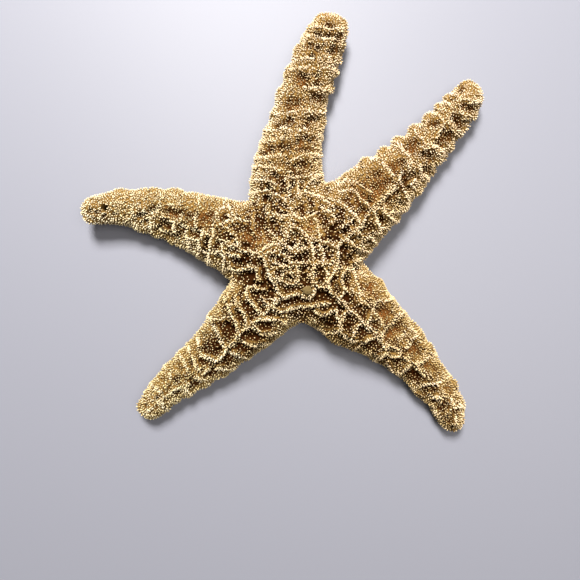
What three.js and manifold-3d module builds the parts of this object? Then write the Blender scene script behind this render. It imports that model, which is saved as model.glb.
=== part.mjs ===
import * as THREE from 'three';
import { LoftGeometry } from 'three/addons/geometries/LoftGeometry.js';
import { mergeVertices } from 'three/addons/utils/BufferGeometryUtils.js';
import Module from 'manifold-3d';

// A dried five-armed starfish lying on its underside, in millimetres with +Z up.
// Plan positions are measured from the middle of the disc, with the longest arm towards +Y.

// Arms. Each station is [x, y, width] on an arm's midline, the last one at its tip.
// A skewed arm has its cross ridges further out on its right-hand side.
const ARMS = [
  {
    stations: [[-7.2, 44, 39.5], [-1.6, 78, 29.5], [9.8, 110.5, 25.5], [19.4, 131.6, 21.5]],
    tipLift: 3,
    skew: 0.28,
    tipRelief: 0.6,
  },
  {
    stations: [[30.3, 29.3, 41], [55.2, 52, 30.4], [79, 77.2, 21.2], [93.6, 95.4, 19.5]],
    tipLift: 2,
    skew: -0.1,
    tipRelief: 0.9,
  },
  {
    stations: [[27.5, -21.5, 42], [52.4, -41.8, 28.7], [74.3, -66.6, 19.8], [83.6, -88, 15]],
    tipLift: 0,
    skew: 0.1,
    tipRelief: 0.8,
  },
  {
    stations: [[-23.6, -23, 40.5], [-45.5, -44.8, 28.5], [-69.9, -64.3, 19.8], [-83.4, -80.4, 15.6]],
    tipLift: 0,
    skew: -0.1,
    tipRelief: 0.8,
  },
  {
    stations: [[-35, 14.6, 39.6], [-64, 25.8, 29], [-95, 30.2, 19], [-114.2, 28, 15.6]],
    tipLift: 6,
    skew: 0.1,
    tipRelief: 0.2,
  },
];
const ROOT_WIDTH = 41;
const HEIGHT_AT_NO_WIDTH = 5;
const HEIGHT_PER_WIDTH = 0.46;
const LIFT_START = 0.55;

// Cross-section of an arm, as shares of its height and half width
const MARGIN_HEIGHT = 0.36;
const FLANK_HEIGHT = 0.14;
const FLANK_WIDTH = 0.93;
const SOLE_WIDTH = 0.72;
const SQUARENESS = 0.87;
const COLUMNS_OVER_TOP = 12;

// Tip: the length that it is rounded over, as a share of the width, and the sections that close it
const TIP_ROUNDING = 0.6;
const TIP_SHARES = [0.985, 0.996];

// Ladder of cross ridges with pits between them, in lanes over the top of an arm
const BAR_COUNT = 10;
const SECTIONS_PER_BAR = 4;
const LANES = 4;
const LADDER_START = 0.16;
const LADDER_END = 0.965;
const CROWDING = 0.2;
const PIT_DEPTH = 2.9;
const SHALLOWEST_PIT = 0.6;
const BAR_WANDER = 1.5;
const WANDER_PER_COLUMN = 1.05;
const CALM_TIP_SHARE = 0.33;

// Disc: the corners of its raised ring, and the loops of its dome from the sole to the middle.
// A loop is the ring at a scale, drawn towards a circle by its roundness, with pits between its ridges.
const DISC_RING = [[-5.2, 22], [-18.4, 3.2], [-13.1, -12.6], [14.2, -11], [18.9, 9.5]];
const DISC_CIRCLE = 19;
const STEPS_PER_EDGE = 6;
const DOME_LOOPS = [
  { scale: 1.3, height: 0, roundness: 1, pit: 0, pitsPerEdge: 1 },
  { scale: 1.5, height: 8, roundness: 1, pit: 0, pitsPerEdge: 1 },
  { scale: 1.5, height: 17, roundness: 1, pit: 0, pitsPerEdge: 1 },
  { scale: 1.4, height: 22.6, roundness: 0.7, pit: 0.5, pitsPerEdge: 2 },
  { scale: 1.19, height: 25, roundness: 0.25, pit: 1.6, pitsPerEdge: 1 },
  { scale: 0.98, height: 27.2, roundness: 0, pit: 0.3, pitsPerEdge: 2 },
  { scale: 0.76, height: 26.8, roundness: 0, pit: 2.2, pitsPerEdge: 2 },
  { scale: 0.52, height: 27.2, roundness: 0.2, pit: 0.5, pitsPerEdge: 2 },
  { scale: 0.29, height: 27.2, roundness: 0.5, pit: 2, pitsPerEdge: 1 },
  { scale: 0.08, height: 27, roundness: 1, pit: 0, pitsPerEdge: 1 },
];

// Madreporite, the smooth button on the ring's lower edge
const BUTTON_AT = [3.4, -12.8, 26.2];
const BUTTON_RADII = [3.3, 2.8, 1.6];

// Underside: a groove along each arm, meeting at the mouth
const GROOVE_WIDTH = 6.5;
const GROOVE_ROOF = 0.55;
const GROOVE_DEPTH = 6;
const GROOVE_TIP_SHARE = 0.35;
const GROOVE_END = 0.93;
const GROOVE_SECTIONS = 12;
const CUT_BELOW_SOLE = 1;
const MOUTH_RADIUS = 6;
const MOUTH_DEPTH = 8;

// Small hole near the tip of the arm on the left
const HOLE_AT = [-103, 30];
const HOLE_RADIUS = 1.1;
const HOLE_FLOOR = 10;
const HOLE_TOP = 24;

const ROUND_SIDES = 12;
const UP = new THREE.Vector3(0, 0, 1);
const { lerp } = THREE.MathUtils;

const wasm = await Module();
wasm.setup();

function toSolid(geometry) {
  const bare = new THREE.BufferGeometry();
  bare.setAttribute('position', geometry.attributes.position);
  bare.setIndex(geometry.index);
  const merged = mergeVertices(bare);
  return new wasm.Manifold(new wasm.Mesh({
    numProp: 3,
    vertProperties: merged.attributes.position.array,
    triVerts: Uint32Array.from(merged.index.array),
  }));
}

function toGeometry(solid) {
  const { vertProperties, triVerts } = solid.getMesh();
  const geometry = new THREE.BufferGeometry();
  geometry.setAttribute('position', new THREE.BufferAttribute(vertProperties, 3));
  geometry.setIndex(new THREE.BufferAttribute(triVerts, 1));
  geometry.computeVertexNormals();
  return geometry;
}

// A number from 0 to 1 that is always the same for the same two whole numbers
function vary(first, second) {
  const wave = Math.sin(first * 127.1 + second * 311.7) * 43758.5453;
  return wave - Math.floor(wave);
}

// The midline of an arm, as a curve whose third coordinate is the arm's width
function armMidline(arm) {
  const stations = [[0, 0, ROOT_WIDTH], ...arm.stations];
  return new THREE.CatmullRomCurve3(stations.map((station) => new THREE.Vector3(...station)));
}

// Place, directions and size of an arm at a share of its length
function armFrame(arm, midline, share) {
  const station = midline.getPointAt(share);
  const along = midline.getTangentAt(share).setZ(0).normalize();
  const toTip = (1 - share) * midline.getLength();
  const intoTip = Math.max(0, 1 - toTip / (TIP_ROUNDING * station.z));
  const raised = Math.max(0, (share - LIFT_START) / (1 - LIFT_START));
  return {
    middle: new THREE.Vector3(station.x, station.y, arm.tipLift * raised * raised),
    along,
    side: new THREE.Vector3().crossVectors(UP, along),
    halfWidth: station.z / 2,
    height: HEIGHT_AT_NO_WIDTH + HEIGHT_PER_WIDTH * station.z,
    fullness: Math.sqrt(1 - intoTip * intoTip),
  };
}

// How far along an arm a cross ridge stands. Ridges stand closer together towards the tip.
function barShare(bar) {
  const linear = 1 - CROWDING;
  const even = (Math.sqrt(linear * linear + 4 * CROWDING * bar / BAR_COUNT) - linear) / (2 * CROWDING);
  return lerp(LADDER_START, LADDER_END, even);
}

// How far a cross ridge strays along the arm in one column of a section
function barStray(armIndex, bar, column) {
  const base = Math.floor(bar);
  const [before, after] = [base, base + 1].map((whole) => {
    const phase = 2 * Math.PI * vary(armIndex, whole);
    return BAR_WANDER * Math.sin(WANDER_PER_COLUMN * column + phase);
  });
  return lerp(before, after, bar - base);
}

function pitDepth(armIndex, bar, lane) {
  const crossing = Math.sin(Math.PI * bar) * Math.sin(Math.PI * lane);
  const ownDepth = lerp(SHALLOWEST_PIT, 1, vary(armIndex * BAR_COUNT + Math.floor(bar), Math.floor(lane)));
  const fade = lerp(1, ARMS[armIndex].tipRelief, bar / BAR_COUNT);
  return PIT_DEPTH * ownDepth * fade * crossing * crossing;
}

// One closed section of an arm: over the top from its left margin to its right one, then under the sole
function armSection(armIndex, midline, share, bar) {
  const { skew } = ARMS[armIndex];
  const frame = armFrame(ARMS[armIndex], midline, share);
  const marginHeight = frame.height * MARGIN_HEIGHT;
  const calm = Math.min(1, (1 - bar / BAR_COUNT) / CALM_TIP_SHARE);

  function place(sideways, height, stray) {
    const sidewaysHere = sideways * frame.fullness;
    return frame.middle.clone()
      .addScaledVector(frame.side, sidewaysHere)
      .addScaledVector(frame.along, calm * (stray - skew * sidewaysHere))
      .addScaledVector(UP, lerp(marginHeight, height, frame.fullness));
  }

  const points = [];
  for (let column = 0; column <= COLUMNS_OVER_TOP; column += 1) {
    const angle = Math.PI * column / COLUMNS_OVER_TOP;
    const pit = pitDepth(armIndex, bar, LANES * column / COLUMNS_OVER_TOP);
    const sideways = Math.sign(Math.cos(angle)) * Math.abs(Math.cos(angle)) ** SQUARENESS;
    const rise = Math.sin(angle) ** SQUARENESS;
    points.push(place(
      (frame.halfWidth - pit) * sideways,
      marginHeight + (frame.height - marginHeight - pit) * rise,
      barStray(armIndex, bar, column),
    ));
  }
  const underside = [
    [-FLANK_WIDTH, FLANK_HEIGHT], [-SOLE_WIDTH, 0], [SOLE_WIDTH, 0], [FLANK_WIDTH, FLANK_HEIGHT],
  ];
  for (const [sideShare, heightShare] of underside) {
    points.push(place(frame.halfWidth * sideShare, frame.height * heightShare, 0));
  }
  return points;
}

function armSolid(arm, armIndex) {
  const midline = armMidline(arm);
  const sections = [armSection(armIndex, midline, 0, 0)];
  for (let step = 0; step <= BAR_COUNT * SECTIONS_PER_BAR; step += 1) {
    const bar = step / SECTIONS_PER_BAR;
    sections.push(armSection(armIndex, midline, barShare(bar), bar));
  }
  for (const share of TIP_SHARES) {
    sections.push(armSection(armIndex, midline, share, BAR_COUNT));
  }
  return toSolid(new LoftGeometry(sections, { capStart: true, capEnd: true }));
}

function domeLoop({ scale, height, roundness, pit, pitsPerEdge }) {
  const corners = DISC_RING.map(([x, y]) => new THREE.Vector3(x, y, 0));
  return corners.flatMap((corner, edge) => {
    const next = corners[(edge + 1) % corners.length];
    return Array.from({ length: STEPS_PER_EDGE }, (_, step) => {
      const onRing = corner.clone().lerp(next, step / STEPS_PER_EDGE);
      const onCircle = onRing.clone().setLength(DISC_CIRCLE);
      const sink = pit * Math.sin(Math.PI * pitsPerEdge * step / STEPS_PER_EDGE) ** 2;
      return onRing.lerp(onCircle, roundness).multiplyScalar(scale).setZ(height - sink);
    });
  });
}

function domeSolid() {
  return toSolid(new LoftGeometry(DOME_LOOPS.map(domeLoop), { capStart: true, capEnd: true }));
}

function buttonSolid() {
  const button = new THREE.SphereGeometry(1, ROUND_SIDES, ROUND_SIDES / 2);
  button.rotateX(Math.PI / 2);
  button.scale(...BUTTON_RADII);
  button.translate(...BUTTON_AT);
  return toSolid(button);
}

function grooveCut(arm) {
  const midline = armMidline(arm);
  const sections = [];
  for (let step = 0; step <= GROOVE_SECTIONS; step += 1) {
    const share = GROOVE_END * step / GROOVE_SECTIONS;
    const { middle, side } = armFrame(arm, midline, share);
    const size = lerp(1, GROOVE_TIP_SHARE, step / GROOVE_SECTIONS);
    const mouthHalf = size * GROOVE_WIDTH / 2;
    const roofHalf = mouthHalf * GROOVE_ROOF;
    const profile = [
      [mouthHalf, -CUT_BELOW_SOLE], [mouthHalf, 0], [roofHalf, size * GROOVE_DEPTH],
      [-roofHalf, size * GROOVE_DEPTH], [-mouthHalf, 0], [-mouthHalf, -CUT_BELOW_SOLE],
    ];
    sections.push(profile.map(([sideways, height]) => (
      middle.clone().addScaledVector(side, sideways).addScaledVector(UP, height))));
  }
  return toSolid(new LoftGeometry(sections, { capStart: true, capEnd: true }));
}

// A round upright cut between two heights
function roundCut([x, y], radius, bottom, top) {
  const cut = new THREE.CylinderGeometry(radius, radius, top - bottom, ROUND_SIDES);
  cut.rotateX(Math.PI / 2);
  cut.translate(x, y, (top + bottom) / 2);
  return toSolid(cut);
}

function starfishSolid() {
  const grown = [...ARMS.map(armSolid), domeSolid(), buttonSolid()];
  const cuts = [
    ...ARMS.map(grooveCut),
    roundCut([0, 0], MOUTH_RADIUS, -CUT_BELOW_SOLE, MOUTH_DEPTH),
    roundCut(HOLE_AT, HOLE_RADIUS, HOLE_FLOOR, HOLE_TOP),
  ];
  const whole = grown.reduce((joined, piece) => joined.add(piece));
  return cuts.reduce((carved, cut) => carved.subtract(cut), whole);
}

// The origin is on the sole, below the middle of the outline
function starfishMesh() {
  const geometry = toGeometry(starfishSolid());
  const material = new THREE.MeshStandardMaterial({ color: 0xb8975f, roughness: 0.9, metalness: 0 });
  const mesh = new THREE.Mesh(geometry, material);
  mesh.name = 'starfish';
  geometry.computeBoundingBox();
  const middle = geometry.boundingBox.getCenter(new THREE.Vector3());
  mesh.position.set(-middle.x, -middle.y, 0);
  return mesh;
}

const starfish = new THREE.Group();
starfish.add(starfishMesh());

export default starfish;
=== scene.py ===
import math

import bmesh
import bpy
import numpy as np
from bpy.props import FloatProperty, FloatVectorProperty, IntProperty, PointerProperty
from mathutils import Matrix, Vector, noise
from mathutils.kdtree import KDTree


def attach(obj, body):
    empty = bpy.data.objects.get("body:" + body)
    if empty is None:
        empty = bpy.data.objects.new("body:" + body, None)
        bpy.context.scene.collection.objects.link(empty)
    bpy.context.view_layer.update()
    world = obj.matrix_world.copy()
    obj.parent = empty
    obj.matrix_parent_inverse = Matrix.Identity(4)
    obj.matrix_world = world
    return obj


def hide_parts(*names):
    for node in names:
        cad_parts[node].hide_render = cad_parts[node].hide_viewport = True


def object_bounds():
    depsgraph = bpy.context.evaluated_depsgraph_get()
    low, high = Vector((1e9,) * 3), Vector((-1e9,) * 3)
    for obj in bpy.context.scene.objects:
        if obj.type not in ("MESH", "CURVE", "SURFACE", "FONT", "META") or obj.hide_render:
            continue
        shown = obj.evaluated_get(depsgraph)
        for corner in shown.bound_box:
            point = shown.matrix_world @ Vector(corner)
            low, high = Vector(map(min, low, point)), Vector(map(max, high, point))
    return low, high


bl_info = {
    "name": "Dried Starfish",
    "version": (1, 0, 0),
    "blender": (4, 5, 0),
    "location": "View3D > Sidebar > Starfish",
    "description": "Builds the skin, spinelets and button of a dried starfish, and a stage to show it on",
    "category": "Object",
}

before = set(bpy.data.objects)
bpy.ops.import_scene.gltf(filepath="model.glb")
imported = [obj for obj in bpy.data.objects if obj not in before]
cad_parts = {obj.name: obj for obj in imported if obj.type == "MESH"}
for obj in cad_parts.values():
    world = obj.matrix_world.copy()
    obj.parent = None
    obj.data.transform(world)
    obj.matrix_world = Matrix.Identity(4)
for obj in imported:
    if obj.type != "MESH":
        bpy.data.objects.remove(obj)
solid_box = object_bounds()

MM = 0.001
SOLID = "starfish"
BODY = "root"
BAKE_MAP = "OFBake"
SEED = 20

# Plan of the starfish, in metres
DISC_MIDDLE = Vector((8.57 * MM, -21.94 * MM))
DISC_RADIUS = 30 * MM
BLEACHED_TIP = Vector((-105 * MM, 6 * MM))
# Each arm's share of the plan: its name, and the bearing of the notch that it starts from
ARM_SECTORS = (
    ("right_arm", 3.5),
    ("top_arm", 72),
    ("left_arm", 130),
    ("lower_left_arm", 192),
    ("lower_right_arm", 271),
)
# Distances from the disc's middle over which its coarse look gives way to that of the arms
DISC_END = (30 * MM, 50 * MM)
INNER_END = (40 * MM, 72 * MM)
# Distances from the bleached tip over which it darkens
BLEACHED_END = (12 * MM, 38 * MM)
# Stretches up the plan over which the look of the arms changes: rust on the upper arms, and painted
# light that leaves the lower arms darker and the upper arms paler, as if it fell from the top
LOWER_ARMS_END = (-60 * MM, -20 * MM)
UPPER_ARMS_START = (0, 45 * MM)
PAINTED_LIGHT_RISE = (-80 * MM, 60 * MM)
# Slopes over which one side gives way to the next, as the upright part of the surface's normal
UPPER_SLOPES = (-0.45, -0.05)
TOP_SLOPES = (0.2, 0.6)
SHADED_SLOPES = (-0.1, 0.3)
HOLE_SLOPE = 0.3

# Where the photograph is taken from, and its width in pixels
CAMERA_PLACE = Vector((3.37 * MM, -34.54 * MM, 238 * MM))
CAMERA_LENS = 27.19
FILM_WIDTH = 36
PHOTO_WIDTH = 580
FOCUS = CAMERA_LENS / FILM_WIDTH * PHOTO_WIDTH

# Crests of the ridges, read from the photograph, in its pixels
CRESTS = (
    # top arm
    ((290, 224), (291, 214), (289, 205), (288, 195), (287, 182), (289, 172)),
    ((310, 27), (322, 28), (329, 29), (337, 29), (349, 31)),
    ((301, 37), (312, 37), (325, 40), (334, 40)),
    ((296, 60), (306, 60), (317, 60), (328, 58)),
    ((284, 72), (291, 69), (302, 69), (312, 70), (322, 68), (337, 73)),
    ((278, 90), (288, 92), (297, 92), (307, 89), (318, 90), (333, 91)),
    ((309, 70), (310, 80), (309, 88)),
    ((270, 113), (281, 116), (288, 114), (297, 112)),
    ((301, 110), (307, 112), (314, 113), (324, 112)),
    ((263, 131), (272, 131), (281, 129), (288, 131)),
    ((299, 132), (305, 131), (313, 133), (322, 138)),
    ((258, 143), (267, 142), (276, 141), (284, 139), (295, 138)),
    ((254, 157), (263, 159), (273, 157), (283, 157)),
    ((290, 162), (298, 158), (305, 156), (312, 155), (321, 156)),
    ((252, 167), (263, 167), (271, 168), (279, 171)),
    ((286, 180), (293, 179), (301, 178), (310, 176), (323, 175)),
    ((250, 182), (259, 179), (268, 181), (277, 186)),
    ((297, 198), (303, 192), (308, 184), (312, 178)),
    ((297, 181), (297, 190), (297, 200)),
    ((247, 194), (258, 192), (268, 192), (277, 196), (289, 203)),
    ((297, 195), (306, 193), (313, 195), (322, 200), (332, 206)),
    # right arm
    ((336, 248), (345, 238), (353, 231), (361, 226), (365, 219), (371, 209), (378, 202), (385, 195),
     (389, 189), (397, 183), (399, 175), (406, 168), (413, 161), (420, 152), (428, 144), (434, 137),
     (440, 130), (446, 122), (452, 112), (459, 103), (466, 94)),
    ((338, 186), (348, 181), (357, 183), (364, 188), (371, 193)),
    ((340, 193), (352, 190), (358, 197), (364, 203), (371, 209), (375, 216), (378, 226), (382, 236)),
    ((371, 160), (378, 161), (385, 169), (392, 176), (399, 185), (405, 192), (408, 201), (407, 210),
     (404, 216)),
    ((391, 140), (396, 143), (401, 150), (406, 157), (413, 162), (419, 168), (423, 176), (431, 182)),
    ((404, 126), (411, 128), (416, 134), (421, 139), (428, 144), (434, 148), (441, 150), (447, 158)),
    ((420, 116), (431, 113), (439, 117), (445, 123), (452, 127), (458, 132), (464, 138)),
    ((434, 105), (445, 103), (453, 108), (461, 114), (468, 116), (478, 117)),
    ((446, 93), (455, 94), (460, 99), (468, 100), (476, 102), (486, 101)),
    ((443, 142), (447, 144), (451, 150), (457, 151)),
    ((385, 196), (392, 189), (400, 187), (405, 192)),
    ((373, 210), (381, 209), (386, 214), (391, 220), (400, 223)),
    ((386, 214), (393, 212), (400, 212), (407, 210)),
    ((375, 222), (381, 227), (388, 228)),
    ((411, 164), (404, 170), (398, 177)),
    ((411, 185), (418, 176), (423, 176)),
    ((336, 220), (330, 213), (322, 209)),
    ((361, 226), (356, 217), (348, 210), (340, 203), (330, 199)),
    ((340, 228), (349, 222), (356, 217)),
    ((353, 231), (362, 236), (370, 238), (378, 246)),
    ((345, 238), (353, 246), (362, 250), (371, 252)),
    # left arm
    ((263, 256), (256, 254), (248, 252), (240, 250), (234, 246), (226, 243), (219, 239), (212, 236),
     (205, 232), (197, 229), (188, 226), (181, 224), (175, 220), (167, 218), (159, 214), (151, 215),
     (144, 210), (136, 206), (122, 204), (112, 203)),
    ((133, 192), (133, 204), (133, 213), (135, 222), (138, 231)),
    ((144, 210), (151, 216), (151, 224), (152, 236)),
    ((160, 192), (162, 200), (158, 207), (158, 214)),
    ((158, 207), (166, 205), (174, 206), (180, 209), (182, 216), (181, 224)),
    ((180, 192), (179, 201), (181, 209)),
    ((175, 221), (174, 229), (177, 236), (179, 247)),
    ((161, 229), (168, 232), (177, 236)),
    ((205, 232), (200, 240), (199, 248), (199, 258)),
    ((213, 237), (211, 245), (210, 253), (209, 264)),
    ((223, 242), (222, 250), (225, 258), (224, 271)),
    ((199, 250), (210, 253), (219, 252), (230, 254), (240, 256)),
    ((188, 226), (186, 236), (190, 243), (188, 251)),
    ((186, 236), (195, 239), (200, 240)),
    ((197, 229), (196, 220), (198, 210), (199, 198)),
    ((214, 236), (214, 224), (217, 215), (223, 208), (226, 200)),
    ((214, 224), (222, 226), (230, 221), (231, 213), (228, 206)),
    ((230, 221), (239, 220), (247, 222)),
    ((240, 250), (239, 242), (234, 235), (228, 230), (222, 226)),
    # lower left arm
    ((276, 296), (271, 307), (265, 312), (259, 318), (252, 323), (246, 328), (240, 332), (236, 337),
     (233, 343), (227, 348), (222, 355), (216, 360), (212, 365), (207, 370), (201, 374), (195, 378),
     (187, 384), (179, 387), (171, 392), (163, 398), (154, 405), (147, 411)),
    ((208, 315), (212, 322), (217, 329), (220, 338), (226, 348)),
    ((194, 333), (198, 337), (200, 346), (202, 355), (213, 359)),
    ((187, 342), (190, 351), (194, 358), (197, 366), (201, 374)),
    ((178, 352), (183, 359), (187, 366), (190, 375)),
    ((165, 366), (169, 372), (173, 380), (180, 385), (187, 384)),
    ((224, 297), (228, 306), (232, 315), (236, 323), (239, 332)),
    ((211, 319), (221, 320), (232, 316)),
    ((236, 297), (239, 306), (244, 313), (247, 319), (246, 328)),
    ((228, 306), (239, 306)),
    ((252, 323), (256, 329), (262, 333), (270, 334), (280, 332)),
    ((237, 338), (244, 341), (251, 345), (259, 346), (269, 343)),
    ((226, 349), (233, 353), (240, 356), (249, 358)),
    ((212, 365), (219, 368), (227, 369), (236, 368)),
    ((197, 377), (203, 382), (212, 386)),
    ((183, 386), (187, 391), (193, 397)),
    ((172, 391), (175, 398), (180, 404)),
    ((162, 399), (164, 406), (170, 411)),
    ((151, 384), (159, 389), (164, 397)),
    ((145, 395), (152, 401)),
    ((259, 318), (267, 319), (277, 319), (286, 324)),
    # lower right arm
    ((328, 288), (336, 296), (343, 303), (348, 310), (355, 314), (360, 321), (367, 326), (373, 330),
     (377, 337), (383, 343), (390, 346), (397, 350), (404, 355), (412, 362), (420, 369), (428, 377),
     (436, 384), (443, 392), (450, 401), (456, 412), (455, 424)),
    ((357, 285), (359, 295), (361, 303), (368, 305), (375, 302), (384, 301), (393, 299)),
    ((375, 303), (372, 312), (368, 320), (367, 326)),
    ((374, 313), (380, 321), (385, 328), (391, 322), (397, 316), (405, 313)),
    ((385, 328), (381, 335), (383, 343)),
    ((418, 334), (412, 338), (407, 345), (404, 354)),
    ((389, 340), (397, 337), (404, 332), (412, 328)),
    ((434, 354), (426, 358), (419, 362), (411, 363), (406, 368), (399, 374)),
    ((449, 376), (441, 380), (434, 383), (425, 384), (417, 388), (409, 392)),
    ((459, 394), (450, 395), (441, 397), (431, 397), (421, 401)),
    ((466, 406), (457, 406), (448, 411), (440, 415), (434, 412)),
    ((384, 345), (386, 353), (380, 358), (372, 361)),
    ((348, 353), (356, 348), (363, 343), (369, 338), (377, 337)),
    ((341, 330), (345, 336), (351, 340), (358, 341)),
    ((316, 326), (325, 332), (334, 332), (341, 329)),
    ((348, 310), (343, 316), (340, 322), (341, 330)),
    ((360, 322), (355, 329), (351, 340)),
    ((386, 354), (393, 357), (400, 356), (406, 357)),
    ((386, 354), (388, 363), (393, 371)),
    # disc
    ((290, 224), (297, 229), (303, 235), (309, 239), (317, 241), (326, 243), (336, 247)),
    ((337, 248), (338, 258), (336, 267), (331, 275), (327, 283), (328, 288)),
    ((314, 283), (320, 287), (328, 288)),
    ((309, 241), (312, 252), (314, 262), (313, 267), (312, 275), (312, 283)),
    ((314, 262), (322, 264), (330, 263), (337, 262)),
    ((325, 268), (327, 275), (326, 282)),
    ((263, 254), (265, 262), (268, 268), (270, 275), (273, 282), (277, 287), (279, 293), (283, 298)),
    ((270, 232), (275, 237), (280, 242), (285, 245)),
    ((290, 228), (287, 236), (284, 243)),
    ((262, 252), (268, 247), (274, 245), (280, 248)),
    ((268, 253), (275, 252)),
    ((278, 254), (283, 255), (288, 258)),
    ((285, 245), (289, 250), (294, 253), (301, 251), (308, 248)),
    ((288, 258), (290, 264), (297, 264), (304, 263), (311, 263)),
    ((296, 262), (296, 270), (298, 277), (297, 284)),
    ((271, 262), (279, 266), (288, 266)),
    ((273, 277), (280, 281), (287, 284), (295, 283)),
    ((281, 279), (286, 273), (294, 272)),
    ((283, 298), (290, 295), (299, 293), (303, 296), (309, 297), (313, 293), (315, 289)),
    ((248, 297), (247, 291), (249, 287), (254, 287), (259, 289), (265, 290)),
    ((248, 297), (252, 301), (256, 306), (260, 312)),
    ((261, 298), (265, 301), (268, 305), (273, 308), (280, 311), (285, 311)),
    ((270, 306), (274, 302), (279, 299)),
    ((285, 311), (292, 308), (300, 306), (310, 306), (320, 304), (328, 303)),
    ((316, 311), (320, 314), (326, 315), (331, 311)),
    ((335, 310), (338, 318), (341, 324)),
    ((352, 270), (355, 277), (356, 285)),
    ((354, 262), (360, 259), (365, 256)),
    ((336, 267), (344, 270), (352, 270)),
    ((343, 272), (341, 282), (344, 291), (340, 297)),
    ((344, 291), (352, 290), (358, 294)),
    ((228, 268), (236, 270), (243, 269), (251, 268), (258, 268)),
    ((258, 268), (257, 275), (260, 280)),
    ((268, 215), (276, 216), (284, 218), (291, 214)),
    ((291, 214), (300, 219), (309, 218), (316, 214)),
    ((322, 211), (328, 213), (335, 212)),
    ((330, 223), (336, 221)),
    ((315, 219), (317, 228), (318, 238)),
    ((299, 241), (297, 248), (295, 253)),
    ((320, 244), (322, 254), (323, 263)),
)
# Crests along both edges of each arm, in the same way
EDGE_CRESTS = (
    # top arm
    ((251, 199), (254, 184), (257, 168), (259, 155), (262, 140), (267, 126), (273, 112), (279, 96),
     (285, 82), (291, 67), (297, 54), (305, 40), (313, 28), (322, 19), (333, 15), (342, 19)),
    ((325, 184), (321, 170), (319, 156), (322, 143), (320, 131), (323, 122), (324, 112), (328, 101),
     (330, 89), (335, 74), (337, 62), (342, 47), (346, 33), (344, 22)),
    # right arm
    ((333, 187), (344, 179), (356, 172), (367, 163), (380, 155), (393, 143), (408, 131), (424, 118),
     (434, 112), (446, 101), (454, 91), (463, 83), (474, 83)),
    ((380, 236), (387, 226), (398, 218), (407, 206), (411, 196), (419, 186), (429, 178), (438, 166),
     (444, 158), (452, 149), (459, 137), (466, 127), (473, 117), (480, 104), (482, 92), (474, 83)),
    # left arm
    ((247, 204), (230, 202), (212, 199), (195, 196), (176, 192), (158, 191), (140, 192), (122, 193),
     (104, 196), (90, 202), (83, 208)),
    ((228, 276), (216, 268), (205, 261), (193, 254), (182, 247), (170, 241), (156, 236), (142, 230),
     (130, 224), (114, 222), (100, 221), (88, 216), (83, 208)),
    # lower left arm
    ((233, 280), (227, 294), (218, 305), (209, 317), (200, 328), (190, 340), (180, 351), (171, 361),
     (162, 372), (154, 382), (147, 393), (141, 404), (142, 414)),
    ((288, 322), (276, 334), (262, 343), (248, 354), (235, 364), (222, 374), (209, 384), (196, 391),
     (186, 395), (176, 402), (166, 408), (156, 415), (145, 418)),
    # lower right arm
    ((366, 264), (377, 278), (388, 292), (398, 305), (408, 319), (418, 333), (427, 345), (435, 359),
     (445, 372), (454, 386), (461, 398), (464, 410), (461, 424)),
    ((306, 317), (320, 329), (335, 340), (351, 348), (365, 354), (381, 363), (396, 372), (409, 383),
     (421, 395), (433, 407), (442, 418), (450, 428)),
)
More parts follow.
